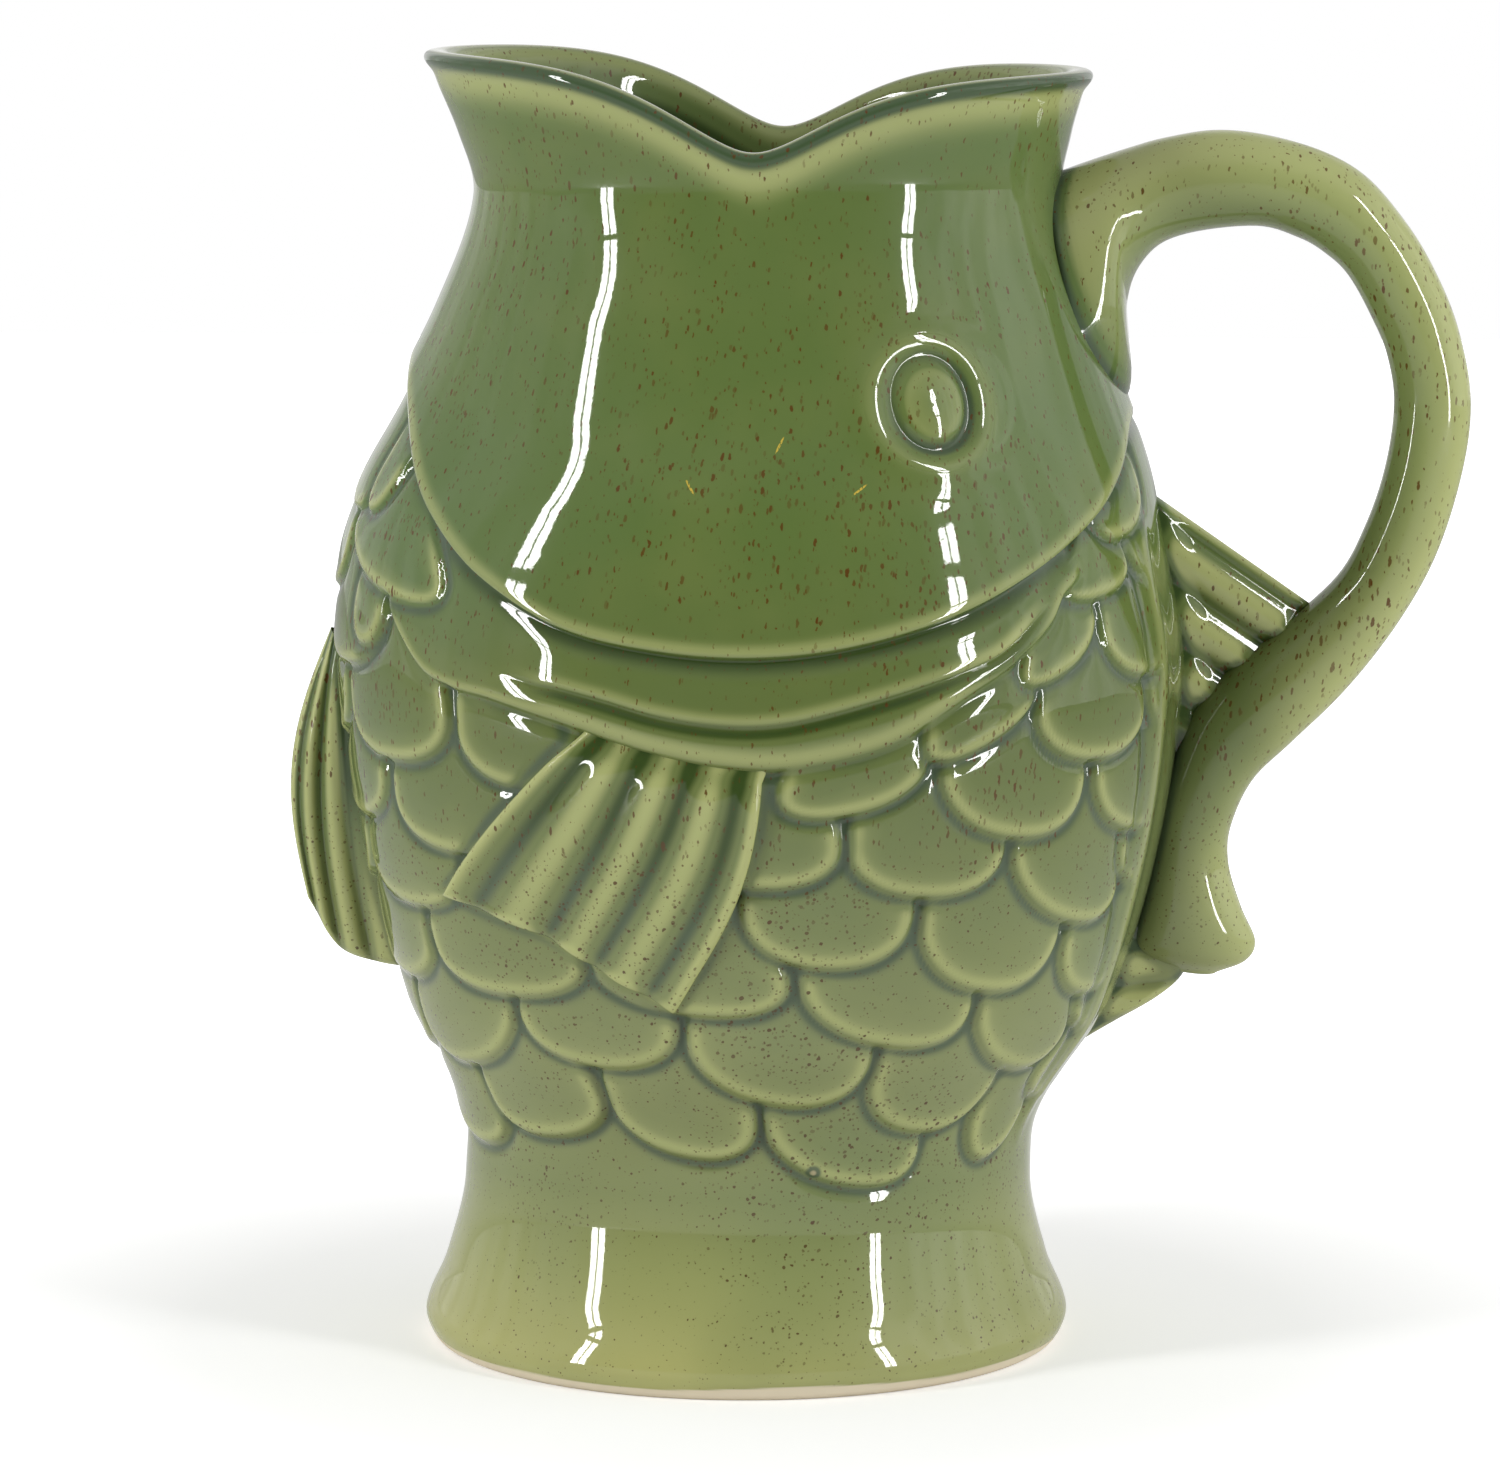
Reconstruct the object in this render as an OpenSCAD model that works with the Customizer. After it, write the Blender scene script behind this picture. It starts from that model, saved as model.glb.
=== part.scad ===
// Gurgle jug in the shape of a standing fish with its open mouth up.
// X runs from the belly (-) to the back and handle (+), Y across the flanks, Z up.
// The origin is the centre of the foot, on the surface that the jug stands on.
// Angles round the body are measured from the flank at -Y, towards the back.

/* [Body] */
// Height of the lip at the back of the mouth
jug_h = 225; // [210:1:240]
// Widest diameter of the round foot
foot_d = 114.4; // [108:0.2:118]
// Height of the widest place of the foot
foot_edge_z = 5; // [4:0.5:7]
// How far the foot draws in again at the surface it stands on
foot_edge = 1.5; // [1:0.1:3]
// Diameter of the waist above the foot
waist_d = 100.7; // [96:0.2:104]
// Height of the waist
waist_z = 29; // [27:1:32]
// Width of the body from belly to back
belly_w = 149; // [143:0.5:152]
// Width of the body across the flanks
belly_across = 141; // [136:0.5:148]
// Height of the widest place of the body
belly_z = 118; // [112:1:122]
// Width of the throat from front to back
neck_w = 103; // [99:0.5:107]
// Width of the throat across the flanks
neck_across = 94; // [90:0.5:98]
// How far the throat lies under the lip
neck_drop = 22; // [19:0.5:26]
// How far the throat leans to the back
neck_lean = 3.8; // [2:0.1:5]

/* [Clay] */
// Thickness of the slip-cast wall
wall = 4.6; // [4:0.1:5.5]
// Thickness of the floor inside the jug
floor_t = 8; // [6.5:0.1:10]
// Height of the bare ring that the jug stands on, round the hollow under its foot
foot_ring_h = 2.5; // [1.5:0.1:3.5]
// Width of that ring
foot_ring_w = 9; // [7:0.1:12]

/* [Mouth] */
// Width of the mouth from front to back
mouth_w = 115; // [111:0.5:119]
// Width of the mouth across the flanks
mouth_across = 99; // [95:0.5:103]
// Depth of the notch in the lip on each flank
notch_depth = 12.5; // [9:0.5:16]
// Half width of the notch where it has lost two thirds of its depth
notch_w = 20.2; // [17:0.1:23]
// How much higher the pouring lip rises to its tip
lip_swell = 3.5; // [0:0.1:4.5]
// Height of the rounded bead along the lip
bead_h = 4; // [3:0.1:5]
// How far the bead stands out
bead_out = 0.9; // [0.5:0.1:1.4]

/* [Gills] */
// Height of the edge of the head on the flanks
gill_z = 129.5; // [126:0.5:133]
// How far that edge climbs to the belly and the back
gill_rise = 46; // [40:0.5:50]
// Height of the upper collar under the head
collar_upper_h = 12.8; // [11:0.1:14]
// Height of the lower collar under the head
collar_lower_h = 6.4; // [5.5:0.1:7.5]
// How far the edge of the head stands out
head_lip = 1.9; // [1.5:0.1:2.4]
// How far the edge of the upper collar stands out
collar_lip = 1.4; // [1.1:0.1:1.8]

/* [Scales] */
// Height of one row of scales
row_pitch = 13.6; // [12.6:0.1:14.6]
// Width of one scale
scale_w = 31.5; // [29:0.5:34]
// Depth of the round free edge of a scale
scale_drop = 10.6; // [9.5:0.1:11.5]
// How far under the collars the first whole row of scales ends
first_row_drop = 2.6; // [0:0.2:5]
// How far the free edge of a scale stands out from the round body
scale_lift = 0.4; // [0.2:0.1:0.8]
// Depth of the body under the scales
field_depth = 2.4; // [2:0.1:2.8]

/* [Handle] */
// How far the handle reaches behind the centre of the foot
handle_reach = 127.2; // [123:0.2:131]
// Thickness of the handle across the flanks
handle_across = 14; // [13:0.1:16]
// Diameter of the air passage in the hollow handle
bore_d = 6.4; // [5:0.1:7]
// Diameter of the port between the air passage and the body
port_d = 5.4; // [4:0.1:6]

/* [Fins] */
// How far the belly fin stands out from the belly
belly_fin_out = 14; // [11:0.2:17]
// Thickness of the belly fin where it leaves the body
belly_fin_t = 8; // [6.5:0.1:9.5]
// Thickness of the dorsal fin where it leaves the body
dorsal_fin_t = 9; // [7.5:0.1:10.5]
// How far the pectoral fin stands out from the body
pectoral_lift = 1.8; // [1.4:0.1:2.4]
// Height of the ribs on the fins
rib_h = 1.3; // [0.8:0.1:1.6]

/* [Eyes] */
// Diameter of the raised ring of the eye
eye_d = 20; // [18:0.5:22]
// Diameter of the domed pupil
pupil_d = 15; // [13:0.5:16]
// Height of the middle of the eye
eye_z = 171.5; // [168:0.5:175]
// How far the eye stands out
eye_lift = 1.5; // [1.1:0.1:2]

/* [Hidden] */

glaze = [0.42, 0.53, 0.33];
clay = [0.86, 0.8, 0.68];
columns = 52;
cavity_columns = 26;
cavity_rows = 10;
handle_rings = 26;
handle_sides = 14;
bore_rings = 18;
bore_sides = 8;
fin_steps = 4;
// How far a cutting shape runs past what it cuts
overrun = 2;

// Outline of the body: height shares and width shares between one named place and the next
flare_shares = [[0.375, 0.547]];
rise_shares = [[0.17, 0.097], [0.371, 0.505], [0.663, 0.82]];
taper_shares = [[0.165, 0.022], [0.4, 0.198], [0.588, 0.472], [0.776, 0.733]];
lip_shares = [[0.5, 0.36]];
// Height shares between foot, waist, belly and throat, each with its share of the lean of the throat
rise_lean_shares = [[0, 0.09], [0.17, 0.3], [0.37, 0.65], [1, 0.69]];
taper_lean_shares = [[0.3, 0.36], [0.6, 0.85], [1, 1]];
lip_lean_share = 0.7;

function mix(a, b, t) = a + (b - a) * t;
function clamp(x) = min(1, max(0, x));
function ease(x) = clamp(x) * clamp(x) * (3 - 2 * clamp(x));
// The heights and half widths between two named places
function between(low, high, shares) = [for (s = shares) [mix(low[0], high[0], s[0]), mix(low[1], high[1], s[1])]];

neck_z = jug_h - neck_drop;
above_z = jug_h + neck_drop;
foot_place = [foot_edge_z, foot_d / 2];
waist_place = [waist_z, waist_d / 2];
belly_place = [belly_z, belly_w / 2];
neck_place = [neck_z, neck_w / 2];
mouth_place = [jug_h, mouth_w / 2];
outline = concat(
    [[0, foot_d / 2 - foot_edge], foot_place],
    between(foot_place, waist_place, flare_shares),
    [waist_place],
    between(waist_place, belly_place, rise_shares),
    [belly_place],
    between(belly_place, neck_place, taper_shares),
    [neck_place],
    between(neck_place, mouth_place, lip_shares),
    [mouth_place, [above_z, mouth_w - neck_w / 2]]);
belly_round = belly_across / belly_w;
neck_round = neck_across / neck_w;
mouth_round = mouth_across / mouth_w;
roundness = [[0, 1], [waist_z, 1], [mix(waist_z, belly_z, 0.5), mix(1, belly_round, 0.8)],
    [belly_z, belly_round], [mix(belly_z, neck_z, 0.6), neck_round],
    [neck_z, neck_round], [jug_h, mouth_round], [above_z, mouth_round]];
lean = concat(
    [[0, 0]],
    [for (s = rise_lean_shares) [mix(waist_z, belly_z, s[0]), neck_lean * s[1]]],
    [for (s = taper_lean_shares) [mix(belly_z, neck_z, s[0]), neck_lean * s[1]]],
    [[jug_h, neck_lean * lip_lean_share], [above_z, neck_lean * lip_lean_share]]);

// A smooth curve through a table of [place, value] rows
function row_below(x, table, i) = i >= len(table) - 2 || x < table[i + 1][0] ? i : row_below(x, table, i + 1);
function slope(table, i) =
    let (low = max(i - 1, 0), high = min(i + 1, len(table) - 1))
    (table[high][1] - table[low][1]) / (table[high][0] - table[low][0]);
function curve(x, table) =
    let (i = row_below(x, table, 0), span = table[i + 1][0] - table[i][0], t = (x - table[i][0]) / span)
    table[i][1] * (1 + 2 * t) * (1 - t) * (1 - t) + slope(table, i) * span * t * (1 - t) * (1 - t)
    + table[i + 1][1] * t * t * (3 - 2 * t) - slope(table, i + 1) * span * t * t * (1 - t);
// Column c of a table at share t of its length, on a smooth curve through the rows
function along(t, table, c) =
    curve(t * (len(table) - 1), [for (i = [0 : len(table) - 1]) [i, table[i][c]]]);

// A point of the body's surface, moved out by some distance
function skin(angle, z, out) =
    let (half = curve(z, outline))
    [curve(z, lean) + (half + out) * sin(angle), -(half * curve(z, roundness) + out) * cos(angle), z];
function back_x(z) = skin(90, z, 0)[0];
function front_x(z) = skin(-90, z, 0)[0];

// Closed solid through a list of rings with equally many points
module loft(rings) {
    n = len(rings[0]);
    last = len(rings) - 1;
    sides = [for (i = [0 : last - 1], j = [0 : n - 1], half = [0, 1])
        let (a = i * n + j, b = i * n + (j + 1) % n) half == 0 ? [a, b + n, b] : [a, a + n, b + n]];
    caps = [[for (j = [0 : n - 1]) j], [for (j = [n - 1 : -1 : 0]) last * n + j]];
    polyhedron([for (ring = rings) each ring], concat(sides, caps));
}
// Closed sheet between two grids of points
module sheet(front, back) {
    last = len(front[0]) - 1;
    loft([for (i = [0 : len(front) - 1]) concat(front[i], [for (j = [last : -1 : 0]) back[i][j]])]);
}

// The edge of the head climbs from the flanks to the belly and the back, with two collars under it
function from_flank(angle) = abs(asin(sin(angle))) / 90;
function head_edge(angle) = gill_z + gill_rise * ease((from_flank(angle) - 0.1) / 0.9);
function upper_collar_edge(angle) = head_edge(angle) - collar_upper_h;
function lower_collar_edge(angle) = upper_collar_edge(angle) - collar_lower_h;
function collar_fade(angle) = 1 - ease((from_flank(angle) - 0.36) / 0.22);

// The lip: a notch on each flank and a pouring lip that rises to the front
swell_share = 0.33;
notch_power = 1.63;
function lip_z(angle) =
    let (x = mouth_w / 2 * abs(sin(angle)), ahead = max(0, -sin(angle)))
    jug_h + lip_swell * (1 - exp(-ahead / swell_share)) - notch_depth * exp(-pow(x / notch_w, notch_power));

// Rows of the outer skin from the foot to the lip: height shares, some with a share of the depth or lip
foot_row_shares = [0, 0.5, 1];
flare_row_shares = [0.35, 0.68, 1];
field_row_shares = [[0.1, 0.5], [0.3, 0.85], [0.5, 1], [0.75, 1], [0.98, 1]];
head_row_shares = [[0.05, 0.9], [0.14, 0.5], [0.26, 0.1], [0.4, 0], [0.53, 0], [0.65, 0], [0.76, 0], [0.87, 0]];
back_strip_share = 0.75;
groove_h = collar_lower_h / 8;
field_foot_z = waist_z + foot_edge_z;
turns = [for (c = [0 : columns - 1]) c * 360 / columns];

// The scales end beside a smooth strip along the back
function back_strip(angle) = sin(angle) > 0 ? ease((from_flank(angle) - 0.8) / 0.1) : 0;
function field_out(angle, share) = -field_depth * share * (1 - back_strip_share * back_strip(angle));

function level_ring(z, out) = [for (a = turns) skin(a, z, out)];
function field_ring(height_share, depth_share) =
    [for (a = turns) skin(a, mix(field_foot_z, lower_collar_edge(a), height_share), field_out(a, depth_share))];
function lower_collar_ring(up, lip_share) =
    [for (a = turns) skin(a, lower_collar_edge(a) + up, mix(-field_depth, lip_share * collar_lip, collar_fade(a)))];
function upper_collar_ring(up, lip_share) =
    [for (a = turns) skin(a, upper_collar_edge(a) + up, mix(-field_depth, lip_share * collar_lip, collar_fade(a)))];
function head_ring(height_share, lip_share) =
    [for (a = turns) skin(a, mix(head_edge(a), lip_z(a) - bead_h, height_share), lip_share * head_lip)];
function head_edge_ring(up, out) = [for (a = turns) skin(a, head_edge(a) + up, out)];
function bead_ring(down, out) = [for (a = turns) skin(a, lip_z(a) - down, out)];

module outer_skin() {
    loft(concat(
        [for (s = foot_row_shares) level_ring(mix(foot_ring_h, foot_edge_z, s), 0)],
        [for (s = flare_row_shares) level_ring(mix(foot_edge_z, waist_z, s), -field_depth * 0.1 * s)],
        [for (s = field_row_shares) field_ring(s[0], s[1])],
        [lower_collar_ring(groove_h * 0.4, 0.55), lower_collar_ring(groove_h * 1.6, 0.75),
         lower_collar_ring(groove_h * 5, 0.3)],
        [upper_collar_ring(-groove_h, 0.1), upper_collar_ring(groove_h * 0.4, 0.8),
         upper_collar_ring(groove_h * 1.8, 1), upper_collar_ring(collar_upper_h * 0.5, 0.6),
         upper_collar_ring(collar_upper_h - groove_h, 0.15)],
        [head_edge_ring(groove_h * 0.4, head_lip * 0.75)],
        [for (s = head_row_shares) head_ring(s[0], s[1])],
        [bead_ring(bead_h, 0), bead_ring(bead_h * 0.7, bead_out), bead_ring(bead_h * 0.25, bead_out),
         bead_ring(0, -wall * 0.35)]));
}

// The lattice of the scales: the angle and the height of the lowest point of each
scale_turn = 29.3;
column_turn = 14.6;
column_drift = 1.5;
row_fall_share = 0.011;
row_arch_share = 0.00014;
crowding_share = 0.0015;
first_row_z = gill_z - collar_upper_h - collar_lower_h - first_row_drop;
// In front of the pectoral fin the columns are spread, but not low on the body
spread_turn = 14;
spread_low_z = mix(waist_z, belly_z, 0.3);
spread_high_z = mix(waist_z, belly_z, 0.75);
lowest_tip_z = waist_z + row_pitch * 0.3;
scale_rows = [-3 : 5];
scale_columns = [-3 : 2];
scale_span = [-80, 68];
edge_angles = [180 : 30 : 360];
crown_angles = [180 : 45 : 360];

function plain_angle(row, column) = column_turn - column_drift * row + scale_turn * (column + abs(row) % 2 / 2);
function scale_tip_z(row, column) =
    let (a = plain_angle(row, column))
    first_row_z - row_pitch * (row + row_fall_share * a + row_arch_share * a * a);
function scale_angle(row, column) =
    let (a = plain_angle(row, column), z = scale_tip_z(row, column),
        spread = column < 0 ? spread_turn * ease((z - spread_low_z) / (spread_high_z - spread_low_z)) : 0)
    a - spread - (a > 0 ? crowding_share * a * a : 0);
// Nothing of a scale shows under the middle of the pectoral fin
function flank_z(share) = mix(waist_z, gill_z, share);
function under_fin(angle, z) = angle > -34 && angle < -10 && z > flank_z(0.495) && z < flank_z(0.697);
function has_scale(angle, z) =
    let (edge = collar_fade(angle) > 0.2 ? lower_collar_edge(angle) : head_edge(angle))
    angle > scale_span[0] && angle < scale_span[1] && z > lowest_tip_z && z < edge - scale_drop * 0.6
        && !under_fin(angle, z);

// One scale: a shield with a round free edge and a crowned face, sunk at the top where others cover it
module scale_at(angle, tip_z) {
    turn = 180 / PI * scale_w / 2 / curve(tip_z + scale_drop, outline);
    fall = (scale_lift + field_depth * 0.75) / (2.4 * scale_drop);
    crown_z = scale_drop * 1.12;
    cover_z = scale_drop * 2.3;
    function at(across, up, out) = skin(angle + turn * across, tip_z + up, out);
    edge = [for (a = edge_angles) [cos(a), scale_drop * (1 + sin(a))]];
    crown = [for (a = crown_angles) [0.62 * cos(a), crown_z + 0.62 * scale_drop * sin(a)]];
    shield = concat(
        [for (e = edge) at(e[0], e[1], -field_depth * 1.3)],
        [for (e = edge) at(e[0], e[1], scale_lift - fall * e[1])],
        [for (e = crown) at(e[0], e[1], scale_lift - fall * e[1] + field_depth * 0.12)],
        [for (x = [-0.5, 0.5]) at(x, cover_z, -field_depth)],
        [for (x = [-0.5, 0.5]) at(x, cover_z, -field_depth * 1.3)]);
    hull() polyhedron(shield, [[for (i = [0 : len(shield) - 1]) i]]);
}

module flank_scales() {
    for (row = scale_rows, column = scale_columns) {
        angle = scale_angle(row, column);
        tip_z = scale_tip_z(row, column);
        if (has_scale(angle, tip_z)) scale_at(angle, tip_z);
    }
}

// The body without its hollow, which everything that is stuck on is cut by
module body_form() {
    outer_skin();
    flank_scales();
    mirror([0, 1, 0]) flank_scales();
}

module cavity() {
    top = jug_h + lip_swell + overrun;
    loft([for (i = [0 : cavity_rows])
        [for (c = [0 : cavity_columns - 1]) skin(c * 360 / cavity_columns, mix(floor_t, top, i / cavity_rows), -wall)]]);
}

// The ring stands on one flat face and widens up to the glazed body
module foot_ring() {
    low_r = foot_d / 2 - foot_edge;
    high_r = curve(foot_ring_h, outline) * cos(180 / columns);
    color(clay) difference() {
        cylinder(h = foot_ring_h, r1 = low_r, r2 = high_r - foot_edge * 0.1, $fn = 120);
        translate([0, 0, -overrun]) cylinder(h = foot_ring_h + 2 * overrun, r = low_r - foot_ring_w, $fn = 120);
    }
}

// The handle: shares of the way from the back to the reach and of the height, for its outer and its
// inner edge, and its width share
handle_shares = [
    [-0.045, 0.916, -0.13, 0.712, 2.75], [0.05, 0.922, 0.006, 0.754, 2.3], [0.148, 0.933, 0.072, 0.82, 1.7],
    [0.234, 0.942, 0.166, 0.855, 1.38], [0.357, 0.951, 0.278, 0.872, 1.24], [0.49, 0.949, 0.461, 0.879, 1.17],
    [0.635, 0.936, 0.565, 0.87, 1.12], [0.744, 0.916, 0.627, 0.858, 1.08], [0.832, 0.883, 0.679, 0.841, 1.04],
    [0.898, 0.848, 0.731, 0.808, 1.01], [0.963, 0.8, 0.765, 0.779, 1], [1, 0.743, 0.775, 0.741, 0.97],
    [0.975, 0.687, 0.736, 0.693, 0.97], [0.895, 0.625, 0.664, 0.647, 0.98], [0.77, 0.574, 0.56, 0.607, 1.02],
    [0.574, 0.517, 0.359, 0.568, 1.08], [0.396, 0.475, 0.15, 0.532, 1.14], [0.277, 0.445, 0.024, 0.493, 1.12],
    [0.227, 0.409, -0.042, 0.433, 1.1], [0.24, 0.379, -0.038, 0.393, 1.1], [0.306, 0.345, -0.023, 0.345, 1.1],
    [0.372, 0.317, -0.009, 0.317, 1], [0.359, 0.299, 0.046, 0.302, 0.72], [0.281, 0.288, 0.135, 0.292, 0.3]];
// How far along the handle its air passage begins and ends, where the port meets it, and its slope
bore_from_share = 0.06;
bore_to_share = 0.84;
port_share = 0.8;
port_slope = 45;

// A place behind the body in the middle plane
function behind(reach_share, height_share) =
    [mix(back_x(height_share * jug_h), handle_reach, reach_share), height_share * jug_h];
function handle_outer(t) = behind(along(t, handle_shares, 0), along(t, handle_shares, 1));
function handle_inner(t) = behind(along(t, handle_shares, 2), along(t, handle_shares, 3));
function handle_middle(t) = (handle_outer(t) + handle_inner(t)) / 2;
// An oval ring round the middle of the handle, from its outer edge across the flanks
function oval_ring(middle, arm, half_across, sides) =
    [for (k = [0 : sides - 1])
        let (a = k * 360 / sides, p = middle + arm * cos(a))
        [p[0], -half_across * sin(a), p[1]]];
function handle_ring(t) =
    oval_ring(handle_middle(t), handle_outer(t) - handle_middle(t),
        along(t, handle_shares, 4) * handle_across / 2, handle_sides);
function bore_ring(t) =
    let (arm = handle_outer(t) - handle_middle(t))
    oval_ring(handle_middle(t), arm / norm(arm) * bore_d / 2, bore_d / 2, bore_sides);

module handle_form() {
    loft([for (i = [0 : handle_rings]) handle_ring(i / handle_rings)]);
}

module handle_bore() {
    loft([for (i = [0 : bore_rings]) bore_ring(mix(bore_from_share, bore_to_share, i / bore_rings))]);
}

// The port rises from the hollow of the body into the air passage of the handle
module port() {
    end = handle_middle(port_share);
    translate([end[0], 0, end[1]]) rotate([0, -90 - port_slope, 0])
        cylinder(h = end[0] / cos(port_slope), d = port_d, $fn = 24);
}

module handle() {
    color(glaze) difference() {
        handle_form();
        handle_bore();
        port();
        body_form();
    }
}

module jug_body() {
    color(glaze) difference() {
        body_form();
        cavity();
        port();
    }
}

// A fin fans out from its root line to its tip line, with ribs across it
function line_point(t, points) = [along(t, points, 0), along(t, points, 1)];
function fin_point(s, t, root, tip, bow) =
    mix(line_point(t, root), line_point(t, tip), s) + bow * sin(180 * s) * t;
function rib(t, ribs) = 0.5 + 0.5 * cos(360 * ribs * t);

// A fin in the middle plane, ribbed on both faces and thinner at its rim
module flat_fin(root, tip, bow, thick, ribs, steps) {
    grid = [for (i = [0 : fin_steps]) [for (j = [0 : steps])
        let (s = i / fin_steps, t = j / steps, p = fin_point(s, t, root, tip, bow),
            rim = min(ease(t * steps / 2), ease((1 - t) * steps / 2), ease((1 - s) * fin_steps / 1.2)),
            full = mix(thick / 2, thick / 3, s) - rib_h * (1 - rib(t, ribs)))
        [p[0], -mix(rib_h / 2, full, mix(0.35, 1, rim)), p[1]]]];
    sheet(grid, [for (line = grid) [for (p = line) [p[0], -p[1], p[2]]]]);
}

// Belly fin: shares of how far it stands out from the belly and of the height
belly_top_shares = [[-0.45, 0.53], [-0.03, 0.553], [0.1, 0.56]];
belly_bottom_shares = [[-0.28, 0.285], [0.55, 0.3], [0.98, 0.365]];
belly_bow_share = 0.3;
belly_ribs = 4;
belly_rib_steps = 12;
module belly_fin_form() {
    function ahead(s) = [front_x(s[1] * jug_h) - s[0] * belly_fin_out, s[1] * jug_h];
    flat_fin([for (s = belly_top_shares) ahead(s)], [for (s = belly_bottom_shares) ahead(s)],
        [-belly_bow_share * belly_fin_out, 0], belly_fin_t, belly_ribs, belly_rib_steps);
}

module belly_fin() {
    color(glaze) difference() {
        belly_fin_form();
        body_form();
    }
}

// Dorsal fin above and below the lower end of the handle: shares as for the handle
upper_root_shares = [[-0.133, 0.69], [-0.188, 0.56], [-0.142, 0.436]];
upper_tip_shares = [[0.425, 0.588], [0.245, 0.498], [0.064, 0.431]];
upper_ribs = 4;
upper_rib_steps = 12;
lower_root_shares = [[-0.144, 0.342], [-0.136, 0.28], [-0.087, 0.235]];
lower_tip_shares = [[0.156, 0.34], [0.179, 0.287], [0.009, 0.239]];
lower_ribs = 3;
lower_rib_steps = 9;

module dorsal_fin(root_shares, tip_shares, ribs, steps) {
    color(glaze) difference() {
        flat_fin([for (s = root_shares) behind(s[0], s[1])], [for (s = tip_shares) behind(s[0], s[1])],
            [0, 0], dorsal_fin_t, ribs, steps);
        handle_form();
        body_form();
    }
}

module dorsal_fin_upper() {
    dorsal_fin(upper_root_shares, upper_tip_shares, upper_ribs, upper_rib_steps);
}

module dorsal_fin_lower() {
    dorsal_fin(lower_root_shares, lower_tip_shares, lower_ribs, lower_rib_steps);
}

// The pectoral fin lies on the flank: its lines are an angle and a share of the height from waist to gills
pectoral_root_shares = [[-22, 0.86], [-9, 0.831], [3.5, 0.793]];
pectoral_tip_shares = [[-47.5, 0.564], [-30, 0.517], [-20, 0.457], [-9.5, 0.392]];
pectoral_bow_angle = 3;
pectoral_ribs = 4;
pectoral_rib_steps = 12;
module pectoral_form() {
    function place(s, t, out) =
        let (p = fin_point(s, t, pectoral_root_shares, pectoral_tip_shares, [pectoral_bow_angle, 0]))
        skin(p[0], flank_z(p[1]), out);
    function lift(s, t) =
        let (rim = min(ease(t * pectoral_rib_steps / 1.5), ease((1 - t) * pectoral_rib_steps / 1.5),
            ease((1 - s) * fin_steps / 0.8)))
        pectoral_lift * mix(0.35, 1, rim) + rib_h * (rib(t, pectoral_ribs) - 0.5) * rim;
    s_steps = [for (i = [0 : fin_steps]) i / fin_steps];
    t_steps = [for (j = [0 : pectoral_rib_steps]) j / pectoral_rib_steps];
    sheet([for (s = s_steps) [for (t = t_steps) place(s, t, -wall / 2)]],
        [for (s = s_steps) [for (t = t_steps) place(s, t, lift(s, t))]]);
}

module pectoral_fin_left() {
    color(glaze) difference() {
        pectoral_form();
        body_form();
    }
}

module pectoral_fin_right() {
    color(glaze) difference() {
        mirror([0, 1, 0]) pectoral_form();
        body_form();
    }
}

// The eye is a raised ring round a dome, square to the head where it lies
eye_angle = 29.5;
eye_slope_angle = 5;
module eye_form() {
    at = skin(eye_angle, eye_z, 0);
    rise = skin(eye_angle, eye_z + eye_d / 4, 0) - at;
    across = skin(eye_angle + eye_slope_angle, eye_z, 0) - at;
    tilt = atan2(norm([rise[0], rise[1]]), rise[2]);
    ring_w = (eye_d - pupil_d) / 2;
    translate(at) rotate([0, 0, atan2(across[1], across[0])]) rotate([90 - tilt, 0, 0])
        rotate_extrude($fn = 20) polygon([
            [0, -wall / 2], [eye_d / 2, -wall / 2], [eye_d / 2, eye_lift * 0.3],
            [eye_d / 2 - ring_w * 0.3, eye_lift * 0.9], [eye_d / 2 - ring_w * 0.6, eye_lift * 0.9],
            [pupil_d / 2, eye_lift * 0.35], [pupil_d / 2 * 0.88, eye_lift * 0.9],
            [pupil_d / 2 * 0.5, eye_lift * 1.35], [0, eye_lift * 1.5]]);
}

module eye_left() {
    color(glaze) difference() {
        eye_form();
        body_form();
    }
}

module eye_right() {
    color(glaze) difference() {
        mirror([0, 1, 0]) eye_form();
        body_form();
    }
}

jug_body();
foot_ring();  // jug_body
handle();
dorsal_fin_upper();
dorsal_fin_lower();
belly_fin();
pectoral_fin_left();
pectoral_fin_right();
eye_left();
eye_right();
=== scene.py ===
"""Glazed ceramic gurgle jug, shaped like a fish standing on its tail.

Shapes are in millimetres, with angles round the body in degrees from the near flank towards the back.
Materials, lights and the camera are in metres.
"""
import math
import bpy
import numpy as np
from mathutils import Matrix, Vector, kdtree

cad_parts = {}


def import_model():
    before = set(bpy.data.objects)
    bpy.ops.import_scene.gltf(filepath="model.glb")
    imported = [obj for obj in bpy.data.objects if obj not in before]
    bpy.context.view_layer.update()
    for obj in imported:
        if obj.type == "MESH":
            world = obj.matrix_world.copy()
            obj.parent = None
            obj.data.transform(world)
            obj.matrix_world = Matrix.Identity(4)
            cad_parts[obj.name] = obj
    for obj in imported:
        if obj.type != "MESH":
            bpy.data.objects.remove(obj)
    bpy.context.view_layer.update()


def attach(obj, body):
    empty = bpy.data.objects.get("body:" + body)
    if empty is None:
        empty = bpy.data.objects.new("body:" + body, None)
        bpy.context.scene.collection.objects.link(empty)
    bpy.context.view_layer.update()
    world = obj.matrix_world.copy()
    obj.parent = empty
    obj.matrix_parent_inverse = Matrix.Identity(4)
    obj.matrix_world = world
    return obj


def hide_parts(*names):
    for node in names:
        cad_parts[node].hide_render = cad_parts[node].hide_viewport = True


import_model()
MM = 0.001
# Keeps a division from zero
TINY = 1e-9

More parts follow.
